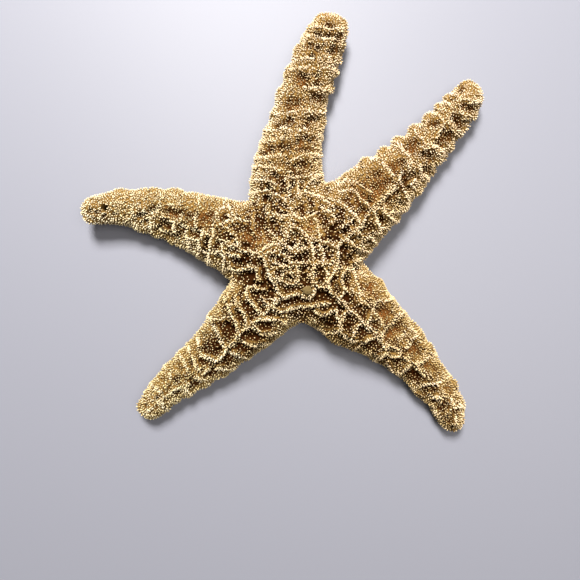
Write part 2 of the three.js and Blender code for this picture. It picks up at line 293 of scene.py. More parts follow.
# Deep pits between them: place and radius, in pixels of the photograph
DEEP_PITS = (
    # top arm
    (329, 24, 4), (333, 26, 3), (318, 31, 4), (328, 35, 4), (341, 36, 4), (336, 49, 4), (308, 43, 3),
    (318, 46, 3), (312, 55, 3), (302, 76, 6), (305, 82, 4), (319, 75, 3), (319, 83, 4), (315, 96, 4),
    (322, 97, 4), (325, 103, 3), (288, 102, 4), (297, 101, 4), (290, 109, 4), (312, 118, 4), (318, 118, 3),
    (308, 124, 4), (290, 119, 4), (284, 121, 3), (277, 124, 3), (307, 136, 3), (313, 138, 3),
    (300, 140, 3), (303, 147, 3), (310, 148, 3), (281, 145, 4), (288, 144, 3), (268, 147, 4),
    (261, 153, 3), (297, 162, 3), (305, 163, 3), (292, 173, 3), (275, 174, 3), (282, 181, 3),
    (282, 189, 3), (293, 183, 3), (304, 189, 3), (266, 187, 3), (265, 197, 4),
    # right arm
    (465, 104, 4), (473, 108, 4), (453, 96, 3), (455, 115, 4), (459, 120, 4), (462, 125, 4), (468, 123, 3),
    (461, 87, 3), (445, 132, 6), (451, 136, 5), (447, 142, 4), (441, 143, 4), (432, 122, 4), (438, 121, 4),
    (427, 152, 5), (433, 157, 5), (412, 144, 6), (419, 140, 4), (414, 150, 3), (379, 172, 5),
    (388, 181, 5), (378, 186, 6), (368, 190, 5), (372, 199, 5), (362, 185, 4), (393, 166, 5),
    (402, 161, 4), (397, 171, 3), (404, 175, 5), (409, 183, 6), (417, 176, 5), (428, 171, 4),
    (396, 191, 4), (403, 194, 3), (389, 199, 4), (404, 203, 3), (378, 214, 4), (384, 221, 4),
    (363, 208, 4), (368, 210, 3), (366, 228, 5), (337, 228, 4), (345, 229, 4), (338, 214, 3),
    (355, 222, 3), (347, 243, 3), (354, 243, 4), (350, 249, 3), (342, 258, 3), (348, 262, 3),
    # left arm
    (165, 210, 4), (172, 212, 5), (178, 211, 4), (163, 224, 4), (169, 224, 5), (158, 230, 4),
    (181, 226, 4), (188, 216, 4), (194, 213, 3), (185, 234, 4), (192, 231, 4), (199, 232, 4),
    (203, 218, 4), (210, 214, 4), (225, 216, 4), (212, 228, 4), (206, 240, 4), (203, 247, 3),
    (217, 241, 4), (213, 257, 3), (204, 256, 4), (234, 235, 3), (230, 248, 3), (242, 227, 4),
    (249, 233, 4), (253, 238, 3), (245, 246, 4), (236, 264, 4), (254, 275, 4), (103, 216, 2),
    (113, 215, 2), (88, 212, 2), (95, 213, 2), (128, 207, 1), (138, 216, 3), (143, 212, 3), (139, 225, 2),
    (145, 222, 3), (155, 206, 3), (150, 209, 3), (150, 235, 3), (166, 236, 4), (176, 235, 4),
    # lower left arm
    (176, 383, 3), (178, 393, 3), (192, 362, 4), (191, 385, 4), (197, 383, 3), (203, 348, 4),
    (204, 360, 5), (206, 374, 4), (213, 369, 4), (214, 375, 4), (216, 344, 3), (216, 352, 4),
    (228, 355, 5), (235, 360, 4), (222, 359, 3), (235, 312, 5), (245, 304, 4), (252, 315, 4),
    (223, 325, 4), (230, 331, 5), (245, 323, 4), (241, 330, 4), (259, 324, 4), (266, 326, 4),
    (247, 336, 4), (254, 336, 5), (260, 338, 3), (238, 346, 4), (245, 351, 4), (260, 293, 4),
    (268, 293, 4), (274, 294, 3), (255, 304, 3), (262, 308, 3), (266, 303, 3), (265, 316, 3),
    (272, 313, 3), (279, 317, 3), (285, 313, 3), (261, 279, 5), (252, 284, 5), (264, 286, 4),
    # lower right arm
    (314, 297, 4), (320, 293, 5), (327, 292, 4), (332, 298, 3), (348, 280, 4), (340, 290, 3),
    (345, 295, 3), (332, 317, 4), (336, 304, 3), (342, 309, 4), (346, 319, 4), (350, 322, 3),
    (322, 323, 4), (330, 327, 4), (352, 302, 3), (361, 306, 3), (366, 308, 3), (367, 315, 4),
    (374, 312, 4), (383, 312, 6), (377, 324, 4), (368, 321, 3), (361, 333, 3), (368, 331, 4),
    (363, 347, 4), (370, 345, 4), (375, 341, 4), (381, 346, 3), (389, 334, 5), (397, 326, 5),
    (395, 354, 6), (392, 363, 5), (402, 361, 4), (382, 362, 4), (412, 350, 5), (415, 346, 5),
    (408, 376, 5), (414, 370, 5), (415, 379, 4), (422, 376, 4), (428, 389, 4), (434, 385, 4),
    (423, 393, 4), (431, 402, 3), (440, 409, 4), (448, 404, 3), (459, 409, 3), (447, 421, 3),
    (455, 418, 3), (426, 364, 3), (452, 431, 3),
    # disc
    (262, 223, 5), (265, 227, 4), (271, 222, 3), (279, 217, 3), (249, 232, 4), (254, 238, 3),
    (244, 245, 4), (285, 251, 5), (270, 257, 3), (275, 257, 3), (283, 260, 3), (295, 258, 5),
    (302, 257, 5), (296, 233, 5), (293, 245, 4), (245, 255, 4), (246, 264, 3), (256, 264, 4),
    (263, 268, 5), (262, 274, 4), (303, 243, 4), (312, 244, 4), (323, 248, 4), (329, 249, 4),
    (315, 251, 4), (322, 254, 3), (314, 211, 4), (314, 217, 3), (328, 214, 4), (325, 223, 4),
    (334, 228, 4), (341, 229, 4), (347, 230, 4), (332, 236, 4), (342, 220, 3), (356, 221, 4),
    (349, 236, 4), (343, 246, 5), (348, 247, 4), (343, 259, 4), (353, 258, 4), (301, 269, 3),
    (304, 279, 5), (318, 273, 4), (331, 272, 3), (332, 281, 5), (321, 282, 3), (347, 279, 5),
    (340, 286, 4), (343, 295, 3), (284, 274, 4), (290, 279, 3), (286, 288, 4), (293, 287, 4),
    (284, 301, 4), (290, 299, 4), (297, 298, 4), (304, 299, 5), (311, 297, 4), (316, 293, 5),
    (322, 292, 5), (328, 293, 5), (329, 298, 3), (279, 304, 3), (245, 273, 3), (261, 283, 5),
    (268, 284, 5), (273, 283, 4), (253, 293, 5), (267, 293, 5), (274, 293, 5),
)
# Rusty patches of skin, in the same way
RUST = (
    (312, 224, 10), (259, 242, 12), (375, 286, 12), (371, 191, 20), (395, 160, 12), (413, 147, 9),
    (305, 147, 12), (300, 105, 14), (300, 80, 8), (206, 212, 16), (170, 210, 10), (247, 236, 7),
    (384, 315, 11), (395, 335, 9), (413, 350, 7), (432, 368, 7), (450, 390, 9), (386, 176, 12),
)
# The arms' tips, in the same way
TIPS = (
    (334, 16, 16), (477, 95, 21), (84, 208, 16), (147, 414, 15), (456, 428, 16),
)
# Pale, closely covered patches, in the same way: partly paler skin, and partly painted light on the
# edges that face the light
PALE_AND_LIT_PATCHES = (
    (334, 18, 12), (320, 52, 9), (312, 64, 12), (285, 92, 8), (276, 110, 6), (318, 168, 9), (318, 190, 12),
    (300, 195, 8), (476, 88, 10), (335, 192, 12), (352, 176, 8), (372, 162, 7), (90, 208, 14),
    (112, 205, 16), (135, 203, 14), (152, 198, 10), (172, 198, 9), (196, 200, 8), (216, 203, 8),
    (237, 206, 10), (289, 227, 7), (277, 240, 6), (318, 228, 6), (366, 275, 8), (384, 294, 6),
    (402, 318, 5), (418, 340, 5), (215, 312, 8), (206, 328, 6), (186, 356, 7), (172, 370, 9),
    (160, 386, 7), (232, 288, 6),
)
# Lumps where an edge stands out furthest, in the same way
LUMPS = (
    (346, 22, 10), (325, 122, 7), (468, 83, 10), (412, 126, 7), (466, 128, 8), (444, 160, 9),
    (420, 192, 6), (457, 143, 6), (120, 190, 12), (150, 189, 14), (174, 190, 9), (155, 237, 9),
    (172, 243, 7), (142, 231, 6), (88, 221, 8), (246, 201, 6), (228, 276, 7), (365, 260, 8),
    (303, 323, 10), (327, 182, 5), (225, 375, 9), (190, 395, 9), (139, 407, 8), (207, 385, 8),
    (464, 400, 10), (455, 383, 7), (417, 394, 10), (335, 341, 9), (381, 281, 6), (420, 330, 10),
    (431, 346, 6), (320, 17, 8), (342, 48, 4), (340, 61, 4), (336, 73, 4), (333, 90, 5), (446, 97, 5),
    (438, 105, 5), (427, 114, 6), (474, 118, 5), (452, 148, 5), (434, 173, 5), (395, 139, 5),
    (363, 160, 5), (382, 149, 5), (422, 186, 5), (406, 206, 5), (397, 220, 4), (297, 50, 8), (287, 72, 7),
    (279, 95, 6),
)
# Dents between them, in the same way
DENTS = (
    (341, 54, 6), (345, 42, 3), (339, 67, 3), (334, 80, 4), (330, 96, 3), (468, 122, 3), (456, 142, 3),
    (443, 152, 4), (437, 167, 4), (450, 93, 4), (441, 103, 3), (433, 111, 3), (420, 122, 4), (404, 133, 4),
    (373, 156, 3), (389, 145, 3), (412, 195, 4), (429, 177, 3), (402, 214, 3),
)
# Darker, browner patches, in the same way: partly browner skin, and partly painted shade on the lower
# arms and along their lower edges, which face away from the light
SHADE_AND_BROWN_PATCHES = (
    (232, 328, 24), (215, 350, 14), (250, 345, 14), (262, 318, 20), (228, 357, 10), (250, 275, 16),
    (262, 290, 12), (300, 300, 16), (320, 297, 10), (330, 315, 16), (350, 335, 14), (345, 318, 12),
    (370, 345, 9), (395, 358, 9), (415, 374, 9), (410, 182, 6), (447, 136, 6), (168, 222, 8),
    (190, 233, 8), (240, 258, 10), (265, 340, 12), (245, 353, 10), (225, 366, 10), (330, 332, 11),
    (354, 347, 10), (380, 360, 9), (303, 318, 8),
)


def length_setting(name, description, default):
    """A setting that holds a length."""
    return FloatProperty(name=name, description=description, default=default, unit="LENGTH")


def colour_setting(name, description, default):
    """A setting that holds a colour."""
    return FloatVectorProperty(name=name, description=description, default=default, subtype="COLOR")


class SkinSettings(bpy.types.PropertyGroup):
    """Shape and colours of the skin between the spinelets"""

    grain: length_setting("Grain", "Size of the skin's mesh cells", 0.84 * MM)
    depth: length_setting("Depth", "Depth of the skin below the tips of the spinelets", 1.5 * MM)
    edge_depth: length_setting("Edge depth", "The same along the edges of the arms", 1.25 * MM)
    tip_depth: length_setting("Tip depth", "The same at the tips of the arms", 0.9 * MM)
    sole_depth: length_setting("Sole depth", "The same on the underside", 0.8 * MM)
    crest_width: length_setting("Crest width", "Half the width of a ridge on an arm", 1.0 * MM)
    disc_crest_width: length_setting("Disc crest width", "Half the width of a ridge on the disc", 0.75 * MM)
    edge_width: length_setting(
        "Edge width", "Half the width of the closely covered band along an arm's edge", 2.0 * MM)
    pit_depth: length_setting("Pit depth", "Depth of the deepest pits of the arms", 2.5 * MM)
    disc_pit_depth: length_setting("Disc pit depth", "Depth of the deepest pits of the disc", 3.3 * MM)
    ground: FloatProperty(
        name="Ground", description="Depth of the ground between the ridges, as a share of the pits' depth",
        default=0.42, subtype="FACTOR")
    flank_depth: length_setting(
        "Flank depth", "Depth of the dips between the ridges' ends along the edges", 0.9 * MM)
    flank_swell: length_setting("Flank swell", "How far the ridges' ends stand out there", 0.6 * MM)
    lump_height: length_setting("Lump height", "How much further the edges' lumps stand out", 0.9 * MM)
    dent_depth: length_setting("Dent depth", "Depth of the dents between those lumps", 1.75 * MM)
    bare_size: length_setting("Bare spots", "Size of the bare spots between the spinelets", 1.4 * MM)
    disc_bare_size: length_setting("Disc bare spots", "Size of the larger ones on the disc", 2.8 * MM)
    bare_depth: length_setting("Bare depth", "Depth of those spots", 0.7 * MM)
    hole: FloatVectorProperty(
        name="Hole", description="Place of the small hole in one arm", size=2, subtype="XYZ",
        default=(-91.3 * MM, 7.5 * MM), unit="LENGTH")
    hole_radius: length_setting("Hole radius", "Radius of that hole", 1.7 * MM)
    hole_depth: length_setting("Hole depth", "Depth of that hole", 4 * MM)
    ridge_colour: colour_setting("Ridges", "Skin on the ridges", (0.175, 0.098, 0.026))
    margin_colour: colour_setting("Margins", "Skin along the edges and beneath", (0.25, 0.152, 0.047))
    # Painted shade: the pits' skin is dark brown, made near-black where shade falls
    pit_and_shade_colour: colour_setting("Pits", "Skin in the pits", (0.020, 0.0050, 0.0008))
    rust_colour: colour_setting("Rust", "Rusty patches of skin", (0.12, 0.045, 0.010))
    # Painted shade: near-black skin inside the small hole, where shade falls
    hole_shade_colour: colour_setting("Inside the hole", "Skin in the small hole", (0.006, 0.003, 0.002))


class SpineletSettings(bpy.types.PropertyGroup):
    """Spacing, size and colours of the spinelets"""

    row_step: FloatProperty(
        name="Row step", description="Distance between spinelets along a crest, in the photograph's pixels",
        default=0.9)
    row_stray: FloatProperty(
        name="Row stray", description="How far they stray off the crest, in the same pixels", default=0.4)
    row_width: length_setting(
        "Row width", "Half the width of the band of pale spinelets along a crest of the disc", 0.55 * MM)
    arm_row_width: length_setting("Arm row width", "The same out along the arms", 0.95 * MM)
    ridge_gap: length_setting("Gap on ridges", "Distance between spinelets on the ridges", 0.74 * MM)
    cover_gap: length_setting("Gap in patches", "The same where they stand closely", 0.77 * MM)
    edge_gap: length_setting("Gap at edges", "The same along the edges of the arms", 1.0 * MM)
    pit_gap: length_setting("Gap in pits", "The same in the pits of the arms", 1.0 * MM)
    disc_pit_gap: length_setting("Gap in disc pits", "The same in the pits of the disc", 1.3 * MM)
    sole_gap: length_setting("Gap beneath", "The same on the underside", 1.7 * MM)
    ridge_radius: length_setting("Radius on ridges", "Radius of a spinelet on a ridge", 0.43 * MM)
    cover_radius: length_setting("Radius in patches", "The same where they stand closely", 0.37 * MM)
    edge_radius: length_setting("Radius at edges", "The same along the edges of the arms", 0.34 * MM)
    pit_radius: length_setting("Radius in pits", "The same in a pit of an arm", 0.31 * MM)
    disc_pit_radius: length_setting("Radius in disc pits", "The same in a pit of the disc", 0.42 * MM)
    lean: FloatProperty(
        name="Lean", description="Largest lean of a spinelet", default=math.radians(32), subtype="ANGLE")
    candidates: IntProperty(
        name="Candidates", description="Places that are tried over the whole skin", default=260000)
    dull_colour: colour_setting("Dull", "Tip of the darkest spinelets", (0.19, 0.09, 0.018))
    tan_colour: colour_setting("Tan", "Tip of ordinary spinelets", (0.585, 0.459, 0.229))
    cream_colour: colour_setting("Cream", "Tip of the palest spinelets", (0.845, 0.715, 0.512))
    golden_tint: colour_setting("Golden tint", "Tint of the tips in golden patches", (1.0, 0.965, 0.87))
    left_tint: colour_setting("Left tint", "Tint of the tips on the yellower left side", (0.965, 1.0, 1.0))
    right_tint: colour_setting("Right tint", "Tint of the tips on the redder right side", (1.0, 0.96, 0.94))
    left_side: length_setting("Left side", "Where the left tint has its full strength", -75 * MM)
    right_side: length_setting("Right side", "Where the right tint has its full strength", 45 * MM)
    dark_foot_colour: colour_setting("Dark foot", "Foot of a spinelet in a pit", (0.05, 0.0125, 0.0015))
    pale_foot_colour: colour_setting(
        "Pale foot", "Foot of a spinelet on a ridge or along an edge", (0.25, 0.156, 0.046))


class ButtonSettings(bpy.types.PropertyGroup):
    """The madreporite, a smooth button beside the middle of the disc"""

    place: FloatVectorProperty(
        name="Place", description="Middle of the button", size=3, subtype="XYZ",
        default=(11.97 * MM, -34.74 * MM, 24.7 * MM), unit="LENGTH")
    radius: length_setting("Radius", "Radius of the button", 2.5 * MM)
    rise: length_setting("Rise", "Height of the button's dome", 0.9 * MM)
    colour: colour_setting("Colour", "Colour of the button", (0.112, 0.076, 0.028))


class StageSettings(bpy.types.PropertyGroup):
    """Floor and world behind the starfish"""

    floor_colour: colour_setting("Floor", "Colour of the floor", (0.19, 0.193, 0.226))
    floor_size: length_setting("Floor size", "Side of the floor", 6.0)
    world_colour: colour_setting("World", "Colour of the light from all around", (1.0, 0.97, 0.93))


def eased(values, low, high):
    """Runs smoothly from 0 at low to 1 at high."""
    share = np.clip((values - low) / (high - low), 0, 1)
    return share * share * (3 - 2 * share)


def blended(first, second, share):
    """Runs evenly from the first value to the second as the share goes from 0 to 1."""
    return first + (second - first) * share


def bell(distance, half_width):
    """1 at no distance, and near 0 at twice the half width."""
    return np.exp(-(distance / half_width) ** 2)


def read(items, name, width=1, kind=np.float32):
    """One property of a mesh's items as an array with a row for each."""
    values = np.empty(len(items) * width, kind)
    items.foreach_get(name, values)
    return values.reshape(-1, width) if width > 1 else values


def write_attribute(mesh, name, values):
    """Keeps a value for each vertex in the mesh."""
    attribute = mesh.attributes.new(name, "FLOAT", "POINT")
    attribute.data.foreach_set("value", np.asarray(values, np.float32))


def set_map(mesh, uv):
    """Gives the mesh its one UV map, with a row for each corner."""
    layer = mesh.uv_layers.new(name=BAKE_MAP)
    layer.uv.foreach_set("vector", uv.astype(np.float32).ravel())


def shade_smooth(mesh):
    """Hides the edges between the mesh's faces."""
    mesh.polygons.foreach_set("use_smooth", np.ones(len(mesh.polygons), bool))


def spread(field, edges, rounds):
    """A value for each vertex, averaged with its neighbours' again and again."""
    starts = np.concatenate((edges[:, 0], edges[:, 1]))
    ends = np.concatenate((edges[:, 1], edges[:, 0]))
    neighbours = np.maximum(np.bincount(starts, minlength=len(field)), 1)
    for _ in range(rounds):
        sums = np.bincount(starts, weights=field[ends], minlength=len(field))
        field = (field + sums / neighbours) / 2
    return field


def cloud(points, size, offset=0.0):
    """Smooth noise from about -1 to 1 at each point, with lumps of about the given size."""
    shift = Vector((offset, offset, offset))
    return np.array([noise.noise(Vector(point) / size + shift) for point in points])


def add_piece(name, mesh, material):
    """An object at the origin that rides on the starfish's one body."""
    piece = bpy.data.objects.new(name, mesh)
    bpy.context.scene.collection.objects.link(piece)
    mesh.materials.clear()
    mesh.materials.append(material)
    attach(piece, BODY)
    return piece


# What the photograph shows

# Sizes of the noises over the photograph, in its pixels, and offsets that keep them apart
WANDER_SIZE = 6
WANDER_REACH = 1.2
WANDER_OFFSET = 30.0
CLUMP_SIZE = 5
CLUMP_OFFSET = 40.0
SPECK_SIZE = 3.4
SPECK_OFFSET = 55.0
BREAK_SIZE = 8
BREAK_OFFSET = 21.0
# Levels of those noises over which a clump, a speck or a whole stretch of a crest starts
CLUMP_LEVELS = (-0.08, 0.14)
SPECK_LEVELS = (0.24, 0.42)
WHOLE_LEVELS = (-0.35, 0.05)
# What is left of a crest of the arms where it is broken
BROKEN_CREST = 0.25
# Above 1, so that a ridge has a flat top
RIDGE_FLATNESS = 1.25


def photo_places(places):
    """Where each place is seen in the photograph, in pixels, and the length that a pixel covers there."""
    scale = FOCUS / (CAMERA_PLACE.z - places[:, 2])
    across = PHOTO_WIDTH / 2 + scale * (places[:, 0] - CAMERA_PLACE.x)
    down = PHOTO_WIDTH / 2 - scale * (places[:, 1] - CAMERA_PLACE.y)
    return np.column_stack((across, down)), 1 / scale


def photo_cloud(seen, size, offset=0.0):
    """The noise over the photograph, in its pixels."""
    return cloud(np.column_stack((seen, np.zeros(len(seen)))), size, offset)


def distance_to(lines, seen):
    """Distance of each place from the nearest of some lines, all in pixels."""
    nearest = np.full(len(seen), np.inf)
    for line in lines:
        points = np.array(line, float)
        for start, along in zip(points[:-1], np.diff(points, axis=0)):
            share = np.clip((seen - start) @ along / (along @ along), 0, 1)
            nearest = np.minimum(nearest, np.hypot(*(seen - start - share[:, None] * along).T))
    return nearest


def strongest(spots, seen):
    """How much each place belongs to the nearest of some round spots: 1 in its middle, 0 well away."""
    found = np.zeros(len(seen))
    for *middle, radius in spots:
        found = np.maximum(found, np.exp(-np.sum((seen - middle) ** 2, axis=1) / radius ** 2))
    return found


def wander(seen):
    """A small irregular shift of each place, in pixels, so that no line runs straight."""
    shifts = photo_cloud(seen, WANDER_SIZE), photo_cloud(seen, WANDER_SIZE, WANDER_OFFSET)
    return WANDER_REACH * np.column_stack(shifts)


def clumps(seen):
    """Irregular clumps between the crests: 1 in them, 0 between."""
    return eased(photo_cloud(seen, CLUMP_SIZE, CLUMP_OFFSET), *CLUMP_LEVELS)


def specks(seen):
    """Small dark specks all over: 1 in them, 0 between."""
    return eased(photo_cloud(seen, SPECK_SIZE, SPECK_OFFSET), *SPECK_LEVELS)


def unbroken(seen, on_disc):
    """How far the crests are whole at each place: they fade in places, more so on the arms."""
    whole = eased(photo_cloud(seen, BREAK_SIZE, BREAK_OFFSET), *WHOLE_LEVELS)
    return blended(blended(BROKEN_CREST, 1, on_disc), 1, whole)


def ridge_profile(distance, half_width):
    """1 along a ridge's flat top, 0 well away from it."""
    return np.minimum(1, RIDGE_FLATNESS * bell(distance, half_width))


# Skin

# The fields of the skin that its material and the spinelets read
SKIN_FIELDS = (
    "ridge", "cover", "deep", "shade", "rust", "flank", "margin", "upper", "bare", "inner", "on_disc",
    "hole", "reach",
)
WELD_DISTANCE = 0.0005 * MM
# Rounds of averaging that smooth the ridges away, and that find the level around each place
CALM_ROUNDS = 160
LEVEL_ROUNDS = 600
# Strength of a crest along an edge, and of a ridge where it comes down a flank
EDGE_CREST = 0.5
FLANK_RIDGE = 0.5
# How many times wider a ridge is where it ends on a flank
RIDGE_END = 2.1
# Below 1, so that the pits of the arms have broad floors
ARM_PIT_POWER = 0.58
SPECK_DEPTH = 0.75
# Rust all over the upper arms
UPPER_RUST = 0.36
# How closely spinelets cover the lower and the upper arms, the arms' inner ends, clumps there and on the
# disc, edges, tips and the underside. The thinner cover of the lower arms is painted shade
ARM_COVER = (0.6, 0.85)
INNER_COVER = 0.45
CLUMP_COVER = 0.3
DISC_CLUMP_COVER = 0.9
EDGE_COVER = 0.9
TIP_COVER = 0.7
SOLE_COVER = 0.9
# How much of that cover is lost in pits, in shaded patches, and at the edges beside those
PIT_LOSS = 0.9
SHADE_LOSS = 0.8
EDGE_SHADE_LOSS = 0.6
# Level of the noise at which the skin is bare: on the arms, on the disc, in pits, and its rise under cover
ARM_BARE_LEVEL = 0.25
DISC_BARE_LEVEL = 0.12
PIT_BARE_LEVEL = -0.2
COVERED_RISE = 0.7
BARE_RIM = (-0.08, 0.12)
FINE_BARE_SHARE = 0.5
FINE_BARE_OFFSET = 11.0
# How far cover fills the ground up, and how rough the ground is
COVER_FILL = 0.6
GROUND_ROUGHNESS = 0.15
# The wall of the small hole, in shares of its radius
HOLE_WALL = (0.6, 1.15)
# Where each side lies in the skin's UV map: its margin, its size, and the shift of the underside
MAP_MARGIN = 0.01
MAP_SIZE = np.array((0.48, 0.98))
UNDERSIDE_SHIFT = 0.5


def solid_copy():
    """The solid's mesh, with its triangles joined."""
    bm = bmesh.new()
    bm.from_mesh(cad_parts[SOLID].data)
    bmesh.ops.remove_doubles(bm, verts=bm.verts, dist=WELD_DISTANCE)
    mesh = bpy.data.meshes.new("starfish_solid_copy")
    bm.to_mesh(mesh)
    bm.free()
    return mesh


def even_mesh(mesh, grain):
    """The same shape with evenly small faces."""
    rough = bpy.data.objects.new("rough", mesh)
    bpy.context.scene.collection.objects.link(rough)
    remesh = rough.modifiers.new("even_faces", "REMESH")
    remesh.mode = "VOXEL"
    remesh.voxel_size = grain
    graph = bpy.context.evaluated_depsgraph_get()
    even = bpy.data.meshes.new_from_object(rough.evaluated_get(graph))
    bpy.data.objects.remove(rough)
    even.name = "starfish_skin"
    return even


def calm_form(mesh, places, edges):
    """Places and normals of the mesh with its ridges and pits smoothed away."""
    calm = np.column_stack([spread(places[:, axis], edges, CALM_ROUNDS) for axis in range(3)])
    smooth = mesh.copy()
    smooth.vertices.foreach_set("co", calm.astype(np.float32).ravel())
    smooth.update()
    normals = read(smooth.vertex_normals, "vector", 3).astype(float)
    bpy.data.meshes.remove(smooth)
    return calm, normals


def surface_marks(places, normals, settings):
    """What each place of the solid's surface is like, as fields that mostly run from 0 to 1."""
    seen, per_pixel = photo_places(places)
    shifted = seen + wander(seen)
    from_middle = np.hypot(places[:, 0] - DISC_MIDDLE.x, places[:, 1] - DISC_MIDDLE.y)
    on_disc = 1 - eased(from_middle, *DISC_END)
    inner = 1 - eased(from_middle, *INNER_END)
    upper = eased(normals[:, 2], *UPPER_SLOPES)
    flank = 1 - eased(normals[:, 2], *TOP_SLOPES)

    from_bar = distance_to(CRESTS, shifted) * per_pixel
    width = blended(settings.crest_width, settings.disc_crest_width, on_disc)
    bar = ridge_profile(from_bar, width) * unbroken(seen, on_disc)
    edge = bell(distance_to(EDGE_CRESTS, shifted) * per_pixel, settings.edge_width)
    crest = np.maximum(bar, EDGE_CREST * edge)
    deep = strongest(DEEP_PITS, shifted) ** blended(ARM_PIT_POWER, 1, on_disc)
    deep = upper * np.maximum(deep, SPECK_DEPTH * specks(seen) * (1 - on_disc) * (1 - flank))

    tip = strongest(TIPS, seen)
    rust = upper * np.maximum(strongest(RUST, seen), UPPER_RUST * eased(places[:, 1], *UPPER_ARMS_START))
    # Painted shade, with browner skin: these patches, on surfaces that face upwards, thin the cover and
    # darken the edges and the tips
    shade = strongest(SHADE_AND_BROWN_PATCHES, seen) * eased(normals[:, 2], *SHADED_SLOPES)
    clump = clumps(seen)
    # Painted shade: thinner cover, and so darker ground, on the lower arms
    arm_cover = blended(blended(*ARM_COVER, eased(places[:, 1], *LOWER_ARMS_END)), INNER_COVER, inner)
    ground_cover = blended(arm_cover + CLUMP_COVER * clump, DISC_CLUMP_COVER * clump, on_disc)
    ground_cover = np.minimum(1, ground_cover * (1 - SHADE_LOSS * shade))
    # Painted shade: the edges lose their close cover and their lighter colour in the shaded patches
    unshaded = 1 - EDGE_SHADE_LOSS * shade
    edge_cover = np.maximum(flank, EDGE_COVER * edge) * unshaded
    # Painted light, with paler skin: close cover in the pale patches along the edges that face the light
    cover = np.maximum.reduce((edge_cover, TIP_COVER * tip, ground_cover, strongest(PALE_AND_LIT_PATCHES, shifted)))
    cover *= 1 - PIT_LOSS * deep

    fine = FINE_BARE_SHARE * cloud(places, settings.bare_size, FINE_BARE_OFFSET)
    rough = blended(cloud(places, settings.bare_size), cloud(places, settings.disc_bare_size) + fine, inner)
    bare_level = blended(blended(ARM_BARE_LEVEL, DISC_BARE_LEVEL, inner), PIT_BARE_LEVEL, deep)
    bare_level = bare_level + COVERED_RISE * np.maximum(crest, cover)
    bare = upper * eased(rough, *(bare_level + rim for rim in BARE_RIM))
    return {
        "on_disc": on_disc,
        "inner": inner,
        "upper": upper,
        "flank": flank,
        "crest": crest,
        "ridge": blended(bar, FLANK_RIDGE * bar, flank) * upper,
        "ridge_end": bell(from_bar, RIDGE_END * settings.crest_width),
        "deep": deep,
        "tip": tip,
        "rust": rust,
        "shade": shade,
        "margin": np.maximum(flank * unshaded, 1 - upper),
        "cover": cover,
        "rough": rough,
        "bare": bare,
        "lump": strongest(LUMPS, seen),
        "dent": strongest(DENTS, seen),
    }


def skin_fall(marks, settings):
    """How far the skin falls from its ridges: into pits on top, and between their ends on the flanks."""
    pit_depth = blended(settings.pit_depth, settings.disc_pit_depth, marks["inner"])
    ground = settings.ground * (1 - COVER_FILL * marks["cover"]) + GROUND_ROUGHNESS * marks["rough"]
    pit = np.clip(np.maximum(marks["deep"], ground), 0, 1) * (1 - marks["crest"])
    raised = np.maximum.reduce((marks["ridge_end"], marks["tip"], marks["lump"]))
    side = settings.flank_depth * (1 - raised)
    side -= settings.flank_swell * (1 - marks["tip"]) + settings.lump_height * marks["lump"]
    side += settings.dent_depth * marks["dent"]
    return blended(pit_depth * pit, side, marks["flank"]) + settings.bare_depth * marks["bare"]


def build_skin(settings):
    """The solid's surface sunk to the feet of the spinelets, with the ridges and pits of the photograph."""
    mesh = even_mesh(solid_copy(), settings.grain)
    places = read(mesh.vertices, "co", 3).astype(float)
    edges = read(mesh.edges, "vertices", 2, np.int32)
    calm, normals = calm_form(mesh, places, edges)
    marks = surface_marks(places, normals, settings)
    upper, flank = marks["upper"], marks["flank"]
    solid_relief = np.einsum("ij,ij->i", places - calm, normals)
    solid_relief -= spread(solid_relief, edges, LEVEL_ROUNDS)
    solid_relief *= 1 - flank

    reach = blended(blended(settings.depth, settings.edge_depth, flank), settings.tip_depth, marks["tip"])
    reach = blended(settings.sole_depth, reach, upper)
    sink = reach + upper * skin_fall(marks, settings)
    skin = places - normals * (sink + upper * solid_relief)[:, None]
    from_hole = np.hypot(skin[:, 0] - settings.hole[0], skin[:, 1] - settings.hole[1])
    hole = upper * (1 - eased(from_hole, *(share * settings.hole_radius for share in HOLE_WALL)))
    hole *= normals[:, 2] > HOLE_SLOPE
    skin[:, 2] -= hole * settings.hole_depth
    marks["reach"] = reach
    marks["hole"] = hole
    marks["cover"] = blended(SOLE_COVER, marks["cover"], upper)

    mesh.vertices.foreach_set("co", skin.astype(np.float32).ravel())
    mesh.update()
    shade_smooth(mesh)
    for name in SKIN_FIELDS:
        write_attribute(mesh, name, marks[name])
    return mesh


def map_from_above_and_below(mesh):
    """A UV map with the upper side in its left half and the underside in its right half."""
    low, high = (np.array(corner) for corner in solid_box)
    faces = read(mesh.polygons, "normal", 3)
    corners = read(mesh.loops, "vertex_index", kind=np.int32)
    places = read(mesh.vertices, "co", 3)[corners]
    uv = MAP_MARGIN + MAP_SIZE * ((places - low) / (high - low))[:, :2]
    below = np.repeat(faces[:, 2] < 0, read(mesh.polygons, "loop_total", kind=np.int32))
    uv[:, 0] += UNDERSIDE_SHIFT * below
    set_map(mesh, uv)


# Materials

NODE_STEP = 200
# Sockets of a Mix node that mixes colours
MIX_SHARE, MIX_FIRST, MIX_SECOND = 0, 6, 7
MIX_RESULT = 2
# Detail of the broad patches' noise and of the grain's, and the levels that both are stretched between
PATCH_DETAIL = 3.0
GRAIN_DETAIL = 5.0
MOTTLE_LEVELS = (0.38, 0.66)
# How close the cover is where the skin takes the colour of the ridges
CLOSE_COVER = (0.3, 0.95)
SKIN_FLECKS = 0.06
# Tone of the tan spinelets, on the way from the darkest to the palest
TAN_TONE = 0.45
# Heights over which a foot's colour gives way to its tip's, and how much lower that is on a pale foot
TIP_START = (0.42, 0.95)
PALE_FOOT_DROP = 0.35
# How much paler the grain of the button is
BUTTON_GRAIN = 1.5


